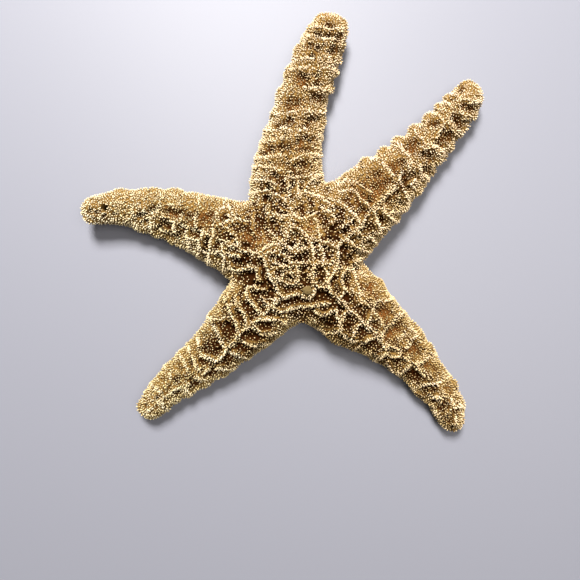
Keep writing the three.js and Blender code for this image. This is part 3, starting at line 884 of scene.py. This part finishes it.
def new_material(name):
    """A material, its nodes and its shader."""
    material = bpy.data.materials.new(name)
    material.use_nodes = True
    tree = material.node_tree
    return material, tree, tree.nodes["Principled BSDF"]


def add_node(tree, kind, **values):
    """A node to the left of those before it."""
    node = tree.nodes.new(kind)
    node.location.x = -NODE_STEP * len(tree.nodes)
    for name, value in values.items():
        setattr(node, name, value)
    return node


def plug(tree, value, socket):
    """Joins a socket to another node's, or sets it to a plain value."""
    if isinstance(value, bpy.types.NodeSocket):
        tree.links.new(value, socket)
    else:
        socket.default_value = value


def colour(values):
    """A colour with full alpha."""
    return (*values, 1.0)


def mix_colours(tree, first, second, share, blend="MIX"):
    """Mixes two colours; each input is a socket or a plain value."""
    node = add_node(tree, "ShaderNodeMix", data_type="RGBA", blend_type=blend)
    plug(tree, share, node.inputs[MIX_SHARE])
    plug(tree, first, node.inputs[MIX_FIRST])
    plug(tree, second, node.inputs[MIX_SECOND])
    return node.outputs[MIX_RESULT]


def work_out(tree, operation, *values):
    """One step of arithmetic on sockets or plain numbers."""
    node = add_node(tree, "ShaderNodeMath", operation=operation)
    for value, socket in zip(values, node.inputs):
        plug(tree, value, socket)
    return node.outputs[0]


def stretch(tree, value, between, result=(0.0, 1.0), kind="LINEAR"):
    """Runs over the result as the value runs between two levels."""
    node = add_node(tree, "ShaderNodeMapRange", interpolation_type=kind)
    tree.links.new(value, node.inputs["Value"])
    node.inputs["From Min"].default_value, node.inputs["From Max"].default_value = between
    node.inputs["To Min"].default_value, node.inputs["To Max"].default_value = result
    return node.outputs["Result"]


def axes_of(tree, vector):
    """The three parts of a vector."""
    node = add_node(tree, "ShaderNodeSeparateXYZ")
    tree.links.new(vector, node.inputs[0])
    return node.outputs


def skin_field(tree, name):
    """One of the fields that the skin's vertices hold."""
    return add_node(tree, "ShaderNodeAttribute", attribute_name=name).outputs["Fac"]


def mottle_group():
    """Noise that the skin, the spinelets and the button share: broad patches and a fine grain."""
    group = bpy.data.node_groups.new("mottle", "ShaderNodeTree")
    for name in ("Patch Size", "Grain Size"):
        group.interface.new_socket(name, in_out="INPUT", socket_type="NodeSocketFloat")
    for name in ("Patches", "Grain"):
        group.interface.new_socket(name, in_out="OUTPUT", socket_type="NodeSocketFloat")
    result = add_node(group, "NodeGroupOutput")
    given = add_node(group, "NodeGroupInput")
    place = add_node(group, "ShaderNodeTexCoord")
    for index, detail in enumerate((PATCH_DETAIL, GRAIN_DETAIL)):
        texture = add_node(group, "ShaderNodeTexNoise")
        texture.inputs["Detail"].default_value = detail
        group.links.new(place.outputs["Object"], texture.inputs["Vector"])
        group.links.new(work_out(group, "DIVIDE", 1.0, given.outputs[index]), texture.inputs["Scale"])
        group.links.new(stretch(group, texture.outputs["Fac"], MOTTLE_LEVELS), result.inputs[index])
    return group


def add_mottle(tree, patch_size, grain_size):
    """The sockets of the patches and the grain, at the given sizes."""
    mottle = add_node(tree, "ShaderNodeGroup")
    mottle.node_tree = bpy.data.node_groups.get("mottle") or mottle_group()
    mottle.inputs["Patch Size"].default_value = patch_size
    mottle.inputs["Grain Size"].default_value = grain_size
    return mottle.outputs


def finish_surface(tree, shader, base, grain, roughness, gloss, grain_height):
    """Gives a shader its colour, its gloss, and the grain in its roughness and its bumps."""
    tree.links.new(base, shader.inputs["Base Color"])
    tree.links.new(stretch(tree, grain, (0.0, 1.0), roughness), shader.inputs["Roughness"])
    shader.inputs["Specular IOR Level"].default_value = gloss
    bump = add_node(tree, "ShaderNodeBump")
    bump.inputs["Distance"].default_value = grain_height
    bump.inputs["Strength"].default_value = 1.0
    tree.links.new(grain, bump.inputs["Height"])
    tree.links.new(bump.outputs["Normal"], shader.inputs["Normal"])


def skin_material(settings):
    """Dark in the pits, darker still with painted shade, rusty in patches, brown on the ridges and along
    the edges, and near-black with painted shade in the small hole.
    """
    material, tree, shader = new_material("starfish_skin")
    grain = add_mottle(tree, patch_size=14 * MM, grain_size=1.2 * MM)["Grain"]
    ridges = colour(settings.ridge_colour)
    rust = skin_field(tree, "rust")
    pits = mix_colours(tree, colour(settings.pit_and_shade_colour), colour(settings.rust_colour), rust)
    clad = work_out(tree, "MAXIMUM", skin_field(tree, "ridge"), skin_field(tree, "cover"))
    covered = mix_colours(tree, pits, ridges, stretch(tree, clad, CLOSE_COVER, kind="SMOOTHSTEP"))
    sided = mix_colours(tree, covered, colour(settings.margin_colour), skin_field(tree, "margin"))
    flesh = mix_colours(tree, sided, pits, skin_field(tree, "bare"))
    flecked = mix_colours(tree, flesh, ridges, work_out(tree, "MULTIPLY", grain, SKIN_FLECKS))
    # Painted shade inside the small hole
    holed = mix_colours(tree, flecked, colour(settings.hole_shade_colour), skin_field(tree, "hole"))
    finish_surface(tree, shader, holed, grain, roughness=(0.75, 0.95), gloss=0.01, grain_height=0.25 * MM)
    return material


def spinelet_material(settings):
    """Colours each spinelet from foot to tip by its own place in the UV map.

    Its tone runs across the map. Its height runs up the map, in the lower half for a dark foot and in the
    upper half for a pale one.
    """
    material, tree, shader = new_material("starfish_spinelets")
    mottle = add_mottle(tree, patch_size=22 * MM, grain_size=0.35 * MM)
    own_map = add_node(tree, "ShaderNodeUVMap", uv_map=BAKE_MAP)
    tone, upwards, _ = axes_of(tree, own_map.outputs["UV"])
    tones = add_node(tree, "ShaderNodeValToRGB")
    steps = tones.color_ramp.elements
    steps[0].color = colour(settings.dull_colour)
    steps[1].color = colour(settings.cream_colour)
    steps.new(TAN_TONE).color = colour(settings.tan_colour)
    tree.links.new(tone, tones.inputs["Fac"])
    golden = mix_colours(
        tree, tones.outputs["Color"], colour(settings.golden_tint), mottle["Patches"], "MULTIPLY")
    body = add_node(tree, "ShaderNodeTexCoord")
    across, _, _ = axes_of(tree, body.outputs["Object"])
    rightward = stretch(tree, across, (settings.left_side, settings.right_side), kind="SMOOTHSTEP")
    tint = mix_colours(tree, colour(settings.left_tint), colour(settings.right_tint), rightward)
    tip = mix_colours(tree, golden, tint, 1.0, "MULTIPLY")

    doubled = work_out(tree, "MULTIPLY", upwards, 2.0)
    pale = work_out(tree, "GREATER_THAN", doubled, 1.0)
    height = work_out(tree, "FRACT", doubled)
    foot = mix_colours(tree, colour(settings.dark_foot_colour), colour(settings.pale_foot_colour), pale)
    raised = work_out(tree, "MULTIPLY_ADD", pale, PALE_FOOT_DROP, height)
    shade = mix_colours(tree, foot, tip, stretch(tree, raised, TIP_START, kind="SMOOTHSTEP"))
    finish_surface(
        tree, shader, shade, mottle["Grain"], roughness=(0.6, 0.85), gloss=0.02, grain_height=0.06 * MM)
    return material


def button_material(settings):
    """Plain and fine grained."""
    material, tree, shader = new_material("starfish_button")
    grain = add_mottle(tree, patch_size=2.5 * MM, grain_size=0.5 * MM)["Grain"]
    pale = [min(1.0, BUTTON_GRAIN * value) for value in settings.colour]
    shade = mix_colours(tree, colour(settings.colour), colour(pale), grain)
    finish_surface(tree, shader, shade, grain, roughness=(0.6, 0.85), gloss=0.1, grain_height=0.2 * MM)
    return material


# Spinelets

# One spinelet, a unit high and a unit in radius: its sides, its foot, and the rise and the narrowing of
# each step up to its rounded cap
PEG_SIDES = 5
PEG_FOOT = 0.95
PEG_STEPS = ((0.55, 1.0), (0.33, 0.62))
PEG_CAP = 0.12
# The share of its radius within which a corner counts as its middle, and the height of its foot in its map
PEG_MIDDLE = 0.1
FOOT_IN_MAP = 0.02
# How far the pitch of a crest's row varies, and how whole a crest has to be to carry it, more on the arms
ROW_UNEVENNESS = 0.3
ROW_WHOLENESS = (0.3, 0.8)
ARM_ROW_WHOLENESS = 0.2
ROW_RIDGE = 0.9
FLANK_RIDGE_LOSS = 0.4
# How much wider the gaps in pits are on the arms and on the disc, and how much gaps vary
PIT_GAP_RISE = (0.05, 0.25)
ROW_GAP = 0.85
GAP_VARIATION = (0.85, 1.2)
# Rows are planted first, then ridges, in an order that is shuffled by this much
ROW_LEAD = 2
SHUFFLE = 0.8
# How bare skin may be to carry a spinelet, and the share that pits of the arms and of the disc lose
BARE_LIMITS = (0.35, 0.75)
PIT_MISSES = (0.35, 0.45)
# Clear ground around the button and the hole, in shares of their radii
BUTTON_CLEARANCE = 0.7
HOLE_CLEARANCE = 1.15
# Spread of the lean, of the radii and of the lengths
LEAN_SPREAD = 0.6
RADIUS_VARIATION = (0.75, 1.2)
LENGTH_VARIATION = (0.85, 1.0)
# Lengths in pits, in patches and on ridges, as shares of the way from the skin to the tips' level
PIT_LENGTH = 0.62
COVER_LENGTH = 0.85
RIDGE_LENGTH = 0.97
FOOT_SUNK = 0.25 * MM
# Tones of the tips, from dull at 0 to cream at 1: on the arms and on the disc, in pits and in patches, then
# on flanks, on ridges and beneath
PIT_TONES = (0.58, 0.72)
COVER_TONES = (0.74, 0.82)
FLANK_TONE = 0.62
RIDGE_TONE = 0.92
SOLE_TONE = 0.68
TONE_LIMITS = (0.02, 0.98)
# What darkens them: deep pits, rust, and painted shade with browner skin in the shaded patches and on
# their flanks
DEEP_DARKENING = 0.4
FLANK_SHADE_DARKENING = 0.2
SHADE_DARKENING = 0.06
RUST_DARKENING = 0.2
# What varies or lightens them; the paler tips up the plan and on the closely covered upper arms are
# painted light, as if it fell from the top
PATCH_SIZE = 9 * MM
PATCH_OFFSET = 7.0
PATCH_TONE = 0.12
BLEACHED_TONE = 0.18
PAINTED_LIGHT_TONE = 0.26
UPPER_PAINTED_LIGHT_TONE = 0.12
HOLE_RIM_TONE = 0.3
HOLE_RIM = (1.6, 2.4)
TONE_VARIATION = 0.13
# A foot is pale where ridge and cover, with some chance, come above a level
PALE_FOOT_LEVEL = 0.6
PALE_RIDGE = 0.85
PALE_PATCHES = 0.2
PALE_VARIATION = 0.12
# Where a spinelet's tone and height lie in its UV map, and the shift of those with a pale foot
TONE_START, TONE_WIDTH, TURN_WIDTH = 0.03, 0.94, 0.012
HEIGHT_START, HEIGHT_WIDTH, PALE_SHIFT = 0.02, 0.46, 0.5
# Above this upright part, an axis is too steep to find its side from the vertical
STEEP = 0.8


def unwrapped_corners(bm):
    """The UV map of one spinelet: how far round each face's corners are, and how high."""
    unwrapped = []
    for face in bm.faces:
        middle = face.calc_center_median()
        bearing = math.atan2(middle.y, middle.x)
        is_foot = len(face.verts) == PEG_SIDES
        for vert in face.verts:
            if is_foot:
                unwrapped.append((vert.co.x, FOOT_IN_MAP * vert.co.y))
                continue
            on_rim = vert.co.xy.length > PEG_MIDDLE
            turn = math.atan2(vert.co.y, vert.co.x) - bearing if on_rim else 0.0
            turn = (turn + math.pi) % (2 * math.pi) - math.pi
            unwrapped.append(((bearing + turn) / math.pi, vert.co.z))
    return np.array(unwrapped)


def peg():
    """One spinelet a unit high and a unit in radius: its points, its faces and its UV map."""
    bm = bmesh.new()
    bmesh.ops.create_circle(bm, cap_ends=True, segments=PEG_SIDES, radius=PEG_FOOT)
    top = bm.faces[:]
    for rise, narrowing in PEG_STEPS:
        grown = bmesh.ops.extrude_face_region(bm, geom=top)["geom"]
        top = [item for item in grown if isinstance(item, bmesh.types.BMFace)]
        corners = [item for item in grown if isinstance(item, bmesh.types.BMVert)]
        bmesh.ops.translate(bm, verts=corners, vec=(0, 0, rise))
        bmesh.ops.scale(bm, verts=corners, vec=(narrowing, narrowing, 1))
    bmesh.ops.poke(bm, faces=top, offset=PEG_CAP)
    bmesh.ops.recalc_face_normals(bm, faces=bm.faces)
    bm.verts.index_update()
    points = np.array([vert.co for vert in bm.verts])
    faces = [[vert.index for vert in face.verts] for face in bm.faces]
    unwrapped = unwrapped_corners(bm)
    bm.free()
    return points, faces, unwrapped


def crest_rows(skin, settings, rng):
    """Places along the crests, at the spinelets' pitch, and a corner of the skin's face at each."""
    places = []
    nearest = []
    for line in CRESTS:
        points = np.array(line, float)
        lengths = np.concatenate(([0], np.cumsum(np.hypot(*np.diff(points, axis=0).T))))
        stops = np.arange(0, lengths[-1], settings.row_step)
        stops += rng.uniform(-ROW_UNEVENNESS, ROW_UNEVENNESS, len(stops)) * settings.row_step
        seen = np.column_stack([np.interp(stops, lengths, points[:, axis]) for axis in range(2)])
        seen += rng.normal(0, settings.row_stray, seen.shape) - wander(seen)
        for across, down in seen:
            ray = Vector((across - PHOTO_WIDTH / 2, PHOTO_WIDTH / 2 - down, -FOCUS))
            hit, place, _, face = skin.ray_cast(CAMERA_PLACE, ray)
            if hit:
                places.append(place)
                nearest.append(skin.data.polygons[face].vertices[0])
    return places, nearest


def tried_places(skin, settings, rng):
    """Places along the crests, then over the whole skin, with the skin's vertex nearest to each."""
    mesh = skin.data
    mesh.calc_loop_triangles()
    triangles = read(mesh.loop_triangles, "vertices", 3, np.int32)
    areas = read(mesh.loop_triangles, "area").astype(float)
    picked = triangles[rng.choice(len(areas), settings.candidates, p=areas / areas.sum())]
    weights = rng.dirichlet((1, 1, 1), settings.candidates)
    scattered = np.einsum("ij,ijk->ik", weights, read(mesh.vertices, "co", 3)[picked])
    beside = picked[np.arange(len(picked)), np.argmax(weights, axis=1)]
    in_rows, beside_rows = crest_rows(skin, settings, rng)
    places = np.concatenate((in_rows, scattered))
    nearest = np.concatenate((beside_rows, beside)).astype(int)
    return places, nearest, np.arange(len(places)) < len(in_rows)


def chosen_places(places, gaps, order, free):
    """Plants the free places in order, each of which takes away those within its own gap."""
    tree = KDTree(len(places))
    for index, place in enumerate(places):
        tree.insert(place, index)
    tree.balance()
    chosen = []
    for index in order:
        if free[index]:
            chosen.append(index)
            for _, near, _ in tree.find_range(places[index], gaps[index]):
                free[near] = False
    return chosen


def scatter(skin, settings, keep_clear, rng):
    """Places for spinelets all over the skin, their normals, and what the skin is like there."""
    places, nearest, on_row = tried_places(skin, settings, rng)
    count = len(places)
    normals = read(skin.data.vertex_normals, "vector", 3)[nearest]
    there = {name: read(skin.data.attributes[name].data, "value")[nearest] for name in SKIN_FIELDS}
    upper, inner, on_disc, deep = there["upper"], there["inner"], there["on_disc"], there["deep"]

    seen, per_pixel = photo_places(places)
    whole = unbroken(seen, inner)
    from_bar = distance_to(CRESTS, seen + wander(seen)) * per_pixel
    row_width = blended(settings.arm_row_width, settings.row_width, inner)
    ridge = ridge_profile(from_bar, row_width) * whole
    ridge *= upper * (1 - FLANK_RIDGE_LOSS * there["flank"])
    on_row &= whole > rng.uniform(*ROW_WHOLENESS, count) + ARM_ROW_WHOLENESS * (1 - inner)
    ridge = np.where(on_row, np.maximum(ridge, ROW_RIDGE), ridge)
    there["ridge"] = ridge

    gaps = blended(settings.pit_gap, settings.disc_pit_gap, inner)
    gaps = blended(gaps, settings.cover_gap, there["cover"])
    gaps = blended(gaps, settings.edge_gap, there["flank"])
    gaps = gaps * (1 + blended(*PIT_GAP_RISE, on_disc) * deep)
    gaps = blended(settings.sole_gap, blended(gaps, settings.ridge_gap, ridge), upper)
    gaps = gaps * np.where(on_row, ROW_GAP, rng.uniform(*GAP_VARIATION, count))
    order = np.argsort(-ROW_LEAD * on_row - ridge * upper + rng.random(count) * SHUFFLE)
    free = on_row | (there["bare"] < rng.uniform(*BARE_LIMITS, count))
    free &= on_row | (blended(*PIT_MISSES, on_disc) * deep < rng.random(count))
    for middle, radius in keep_clear:
        free &= (np.hypot(*(places[:, :2] - middle).T) > radius) | (normals[:, 2] < 0)
    chosen = chosen_places(places, gaps, order, free)
    return places[chosen], normals[chosen], {name: values[chosen] for name, values in there.items()}


def spinelet_shapes(feet, normals, there, settings, rng):
    """Each spinelet's foot, sunk in the skin, its axis, its turn, its radius and its length."""
    count = len(feet)
    axes = normals + math.tan(settings.lean) * rng.uniform(-LEAN_SPREAD, LEAN_SPREAD, (count, 3))
    axes /= np.linalg.norm(axes, axis=1)[:, None]
    spins = rng.uniform(0, 2 * math.pi, count)
    radii = blended(settings.pit_radius, settings.disc_pit_radius, there["inner"])
    radii = blended(radii, settings.cover_radius, there["cover"])
    radii = blended(radii, settings.edge_radius, there["flank"])
    radii = blended(radii, settings.ridge_radius, there["ridge"])
    radii *= rng.uniform(*RADIUS_VARIATION, count)
    lengths = blended(PIT_LENGTH, COVER_LENGTH, there["cover"])
    lengths = blended(lengths, RIDGE_LENGTH, np.maximum(there["ridge"], there["flank"]))
    lengths *= there["reach"] * rng.uniform(*LENGTH_VARIATION, count)
    return feet - axes * FOOT_SUNK, axes, spins, radii, lengths + FOOT_SUNK


def tip_tones(feet, there, patches, skin_settings, rng):
    """How pale the tip of each spinelet is, from 0 to 1."""
    on_disc, cover, shade = there["on_disc"], there["cover"], there["shade"]
    bleached = 1 - eased(np.hypot(*(feet[:, :2] - np.array(BLEACHED_TIP)).T), *BLEACHED_END)
    from_hole = np.hypot(*(feet[:, :2] - np.array(skin_settings.hole)).T) / skin_settings.hole_radius
    tones = blended(*PIT_TONES, on_disc) * (1 - DEEP_DARKENING * there["deep"])
    tones = blended(tones, blended(*COVER_TONES, on_disc), cover)
    # Painted shade: duller tips on the flanks in the shaded patches
    tones = blended(tones, FLANK_TONE - FLANK_SHADE_DARKENING * shade, there["flank"])
    tones = blended(tones, RIDGE_TONE, there["ridge"])
    tones += PATCH_TONE * patches + BLEACHED_TONE * bleached
    # Painted shade, with browner skin, darkens the shaded patches; rust darkens the rusty ones
    tones -= SHADE_DARKENING * shade + RUST_DARKENING * there["rust"]
    # Painted light: paler tips up the plan and darker ones down it
    tones += PAINTED_LIGHT_TONE * (eased(feet[:, 1], *PAINTED_LIGHT_RISE) - 0.5)
    tones += rng.normal(0, TONE_VARIATION, len(feet))
    # Painted light: paler tips where the upper arms are closely covered
    tones += UPPER_PAINTED_LIGHT_TONE * cover * eased(feet[:, 1], *UPPER_ARMS_START)
    tones += HOLE_RIM_TONE * (1 - eased(from_hole, *HOLE_RIM))
    return np.clip(blended(SOLE_TONE, tones, there["upper"]), *TONE_LIMITS)


def pale_feet(there, patches, rng):
    """Which spinelets have a pale foot."""
    paleness = np.maximum(PALE_RIDGE * there["ridge"], there["cover"]) + PALE_PATCHES * patches
    return paleness + rng.normal(0, PALE_VARIATION, len(patches)) > PALE_FOOT_LEVEL


def plant(name, prototype, feet, axes, spins, radii, lengths, tones, pale, material):
    """Joins one turned and scaled copy of the prototype for each foot into a piece."""
    points, faces, unwrapped = prototype
    side = np.cross(axes, np.where(np.abs(axes[:, 2:]) > STEEP, (1.0, 0, 0), (0, 0, 1.0)))
    side /= np.linalg.norm(side, axis=1)[:, None]
    front = np.cross(axes, side)
    right = side * np.cos(spins)[:, None] + front * np.sin(spins)[:, None]
    ahead = np.cross(axes, right)
    places = (
        feet[:, None, :]
        + points[None, :, :1] * radii[:, None, None] * right[:, None, :]
        + points[None, :, 1:2] * radii[:, None, None] * ahead[:, None, :]
        + points[None, :, 2:] * lengths[:, None, None] * axes[:, None, :])
    places = np.clip(places, *solid_box)
    corners = (np.concatenate(faces)[None, :] + len(points) * np.arange(len(feet))[:, None]).ravel()
    sizes = np.tile([len(face) for face in faces], len(feet))
    starts = np.concatenate(([0], np.cumsum(sizes)[:-1]))

    mesh = bpy.data.meshes.new(name)
    mesh.vertices.add(len(feet) * len(points))
    mesh.vertices.foreach_set("co", places.astype(np.float32).ravel())
    mesh.loops.add(len(corners))
    mesh.loops.foreach_set("vertex_index", corners.astype(np.int32))
    mesh.polygons.add(len(sizes))
    mesh.polygons.foreach_set("loop_start", starts.astype(np.int32))
    shade_smooth(mesh)
    mesh.update(calc_edges=True)
    across = TONE_START + TONE_WIDTH * tones[:, None] + TURN_WIDTH * unwrapped[None, :, 0]
    upwards = HEIGHT_START + HEIGHT_WIDTH * unwrapped[None, :, 1] + PALE_SHIFT * pale[:, None]
    set_map(mesh, np.stack((across, upwards), axis=2))
    return add_piece(name, mesh, material)


def sectors(places):
    """For each place, the index of the arm that it is on, or -1 on the disc."""
    offset = places[:, :2] - np.array(DISC_MIDDLE)
    bearing = np.degrees(np.arctan2(offset[:, 1], offset[:, 0]))
    starts = np.array([start for _, start in ARM_SECTORS])
    arm = np.searchsorted(starts, (bearing - starts[0]) % 360 + starts[0], side="right") - 1
    return np.where(np.hypot(*offset.T) < DISC_RADIUS, -1, arm)


# Operators

# The button's segments around and up, its depth as a share of its width, and how uneven it is
BUTTON_SEGMENTS = (32, 16)
BUTTON_DEPTH = 0.82
OUTLINE_BEND = 0.3
OUTLINE_BEND_SIZE = 1.8 * MM
BUMP_HEIGHT = 0.2 * MM
BUMP_SIZE = 0.8 * MM
# Each light: its name, its place, its side in metres, its power in watts and its colour
LIGHTS = (
    ("key_light", (-0.12, 0.8, 0.95), 0.39, 48.0, (1.0, 0.98, 0.95)),
    ("fill_light", (0.45, 0.0, 1.1), 0.8, 9.0, (1.0, 0.97, 0.92)),
)
FLOOR_ROUGHNESS = 0.6
WORLD_STRENGTH = 0.1
NEAREST_SEEN = 0.01


class STARFISH_OT_skin(bpy.types.Operator):
    """Build the skin that the spinelets stand on"""

    bl_idname = "starfish.skin"
    bl_label = "Skin"

    def execute(self, context):
        settings = context.scene.starfish_skin
        mesh = build_skin(settings)
        map_from_above_and_below(mesh)
        skin = add_piece("starfish_skin", mesh, skin_material(settings))
        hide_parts(SOLID)
        return {"FINISHED"}


class STARFISH_OT_spinelets(bpy.types.Operator):
    """Cover the disc and the arms with spinelets"""

    bl_idname = "starfish.spinelets"
    bl_label = "Spinelets"

    def execute(self, context):
        settings = context.scene.starfish_spinelets
        skin_settings = context.scene.starfish_skin
        button = context.scene.starfish_button
        skin = bpy.data.objects["starfish_skin"]
        rng = np.random.default_rng(SEED)
        keep_clear = (
            (np.array(button.place)[:2], BUTTON_CLEARANCE * button.radius),
            (np.array(skin_settings.hole), HOLE_CLEARANCE * skin_settings.hole_radius),
        )
        places, normals, there = scatter(skin, settings, keep_clear, rng)
        shapes = spinelet_shapes(places, normals, there, settings, rng)
        feet = shapes[0]
        patches = cloud(feet, PATCH_SIZE, PATCH_OFFSET)
        tones = tip_tones(feet, there, patches, skin_settings, rng)
        pale = pale_feet(there, patches, rng)

        material = spinelet_material(settings)
        prototype = peg()
        arm = sectors(feet)
        for index, name in ((-1, "disc"), *enumerate(name for name, _ in ARM_SECTORS)):
            here = arm == index
            planted = (values[here] for values in (*shapes, tones, pale))
            plant(f"{name}_spinelets", prototype, *planted, material)
        return {"FINISHED"}


class STARFISH_OT_button(bpy.types.Operator):
    """Build the madreporite, the smooth button beside the middle"""

    bl_idname = "starfish.button"
    bl_label = "Button"

    def execute(self, context):
        settings = context.scene.starfish_button
        around, up = BUTTON_SEGMENTS
        size = (settings.radius, BUTTON_DEPTH * settings.radius, settings.rise)
        bm = bmesh.new()
        bmesh.ops.create_uvsphere(bm, u_segments=around, v_segments=up, radius=1)
        bmesh.ops.scale(bm, verts=bm.verts, vec=size)
        for vert in bm.verts:
            vert.co.xy *= 1 + OUTLINE_BEND * noise.noise(Vector((*vert.co.xy, 0)) / OUTLINE_BEND_SIZE)
            vert.co.z += BUMP_HEIGHT * noise.noise(vert.co / BUMP_SIZE)
        bmesh.ops.translate(bm, verts=bm.verts, vec=settings.place)
        mesh = bpy.data.meshes.new("madreporite")
        bm.to_mesh(mesh)
        bm.free()
        shade_smooth(mesh)
        add_piece("madreporite", mesh, button_material(settings))
        return {"FINISHED"}


def add_floor(scene, settings):
    """A wide floor under the starfish."""
    bm = bmesh.new()
    bmesh.ops.create_grid(bm, x_segments=1, y_segments=1, size=settings.floor_size / 2)
    mesh = bpy.data.meshes.new("floor")
    bm.to_mesh(mesh)
    bm.free()
    floor = bpy.data.objects.new("floor", mesh)
    material, _, shader = new_material("floor")
    shader.inputs["Base Color"].default_value = colour(settings.floor_colour)
    shader.inputs["Roughness"].default_value = FLOOR_ROUGHNESS
    mesh.materials.append(material)
    scene.collection.objects.link(floor)


def add_lights(scene, settings):
    """Square lights that face the middle, and a little light from all around."""
    for name, place, size, power, tint in LIGHTS:
        light = bpy.data.lights.new(name, "AREA")
        light.color = tint
        light.size = size
        light.energy = power
        lamp = bpy.data.objects.new(name, light)
        lamp.location = place
        lamp.rotation_euler = (-Vector(place)).to_track_quat("-Z", "Y").to_euler()
        scene.collection.objects.link(lamp)
    world = bpy.data.worlds.new("studio")
    world.use_nodes = True
    background = world.node_tree.nodes["Background"]
    background.inputs["Color"].default_value = colour(settings.world_colour)
    background.inputs["Strength"].default_value = WORLD_STRENGTH
    scene.world = world


def add_camera(scene):
    """A camera that looks straight down from where the photograph is taken."""
    camera_data = bpy.data.cameras.new("camera")
    camera_data.lens = CAMERA_LENS
    camera_data.sensor_width = FILM_WIDTH
    camera_data.clip_start = NEAREST_SEEN
    camera = bpy.data.objects.new("camera", camera_data)
    camera.location = CAMERA_PLACE
    scene.collection.objects.link(camera)
    scene.camera = camera


class STARFISH_OT_stage(bpy.types.Operator):
    """Set the floor, the lights and the camera"""

    bl_idname = "starfish.stage"
    bl_label = "Stage"

    def execute(self, context):
        settings = context.scene.starfish_stage
        add_floor(context.scene, settings)
        add_lights(context.scene, settings)
        add_camera(context.scene)
        context.scene.view_settings.view_transform = "Standard"
        return {"FINISHED"}


class STARFISH_PT_panel(bpy.types.Panel):
    """Lists the operators that build the starfish and its stage"""

    bl_label = "Dried Starfish"
    bl_space_type = "VIEW_3D"
    bl_region_type = "UI"
    bl_category = "Starfish"

    def draw(self, context):
        for operator in OPERATORS:
            self.layout.operator(operator.bl_idname)


OPERATORS = (STARFISH_OT_skin, STARFISH_OT_spinelets, STARFISH_OT_button, STARFISH_OT_stage)
SETTINGS = {
    "starfish_skin": SkinSettings,
    "starfish_spinelets": SpineletSettings,
    "starfish_button": ButtonSettings,
    "starfish_stage": StageSettings,
}


def register():
    """Adds the settings, the operators and the panel."""
    for name, group in SETTINGS.items():
        bpy.utils.register_class(group)
        setattr(bpy.types.Scene, name, PointerProperty(type=group))
    for shown in (*OPERATORS, STARFISH_PT_panel):
        bpy.utils.register_class(shown)


def unregister():
    """Takes them away again."""
    for shown in (STARFISH_PT_panel, *reversed(OPERATORS)):
        bpy.utils.unregister_class(shown)
    for name, group in SETTINGS.items():
        delattr(bpy.types.Scene, name)
        bpy.utils.unregister_class(group)


def main():
    """Builds the starfish and its stage."""
    register()
    bpy.ops.starfish.skin()
    bpy.ops.starfish.spinelets()
    bpy.ops.starfish.button()
    bpy.ops.starfish.stage()


if __name__ == "__main__":
    main()
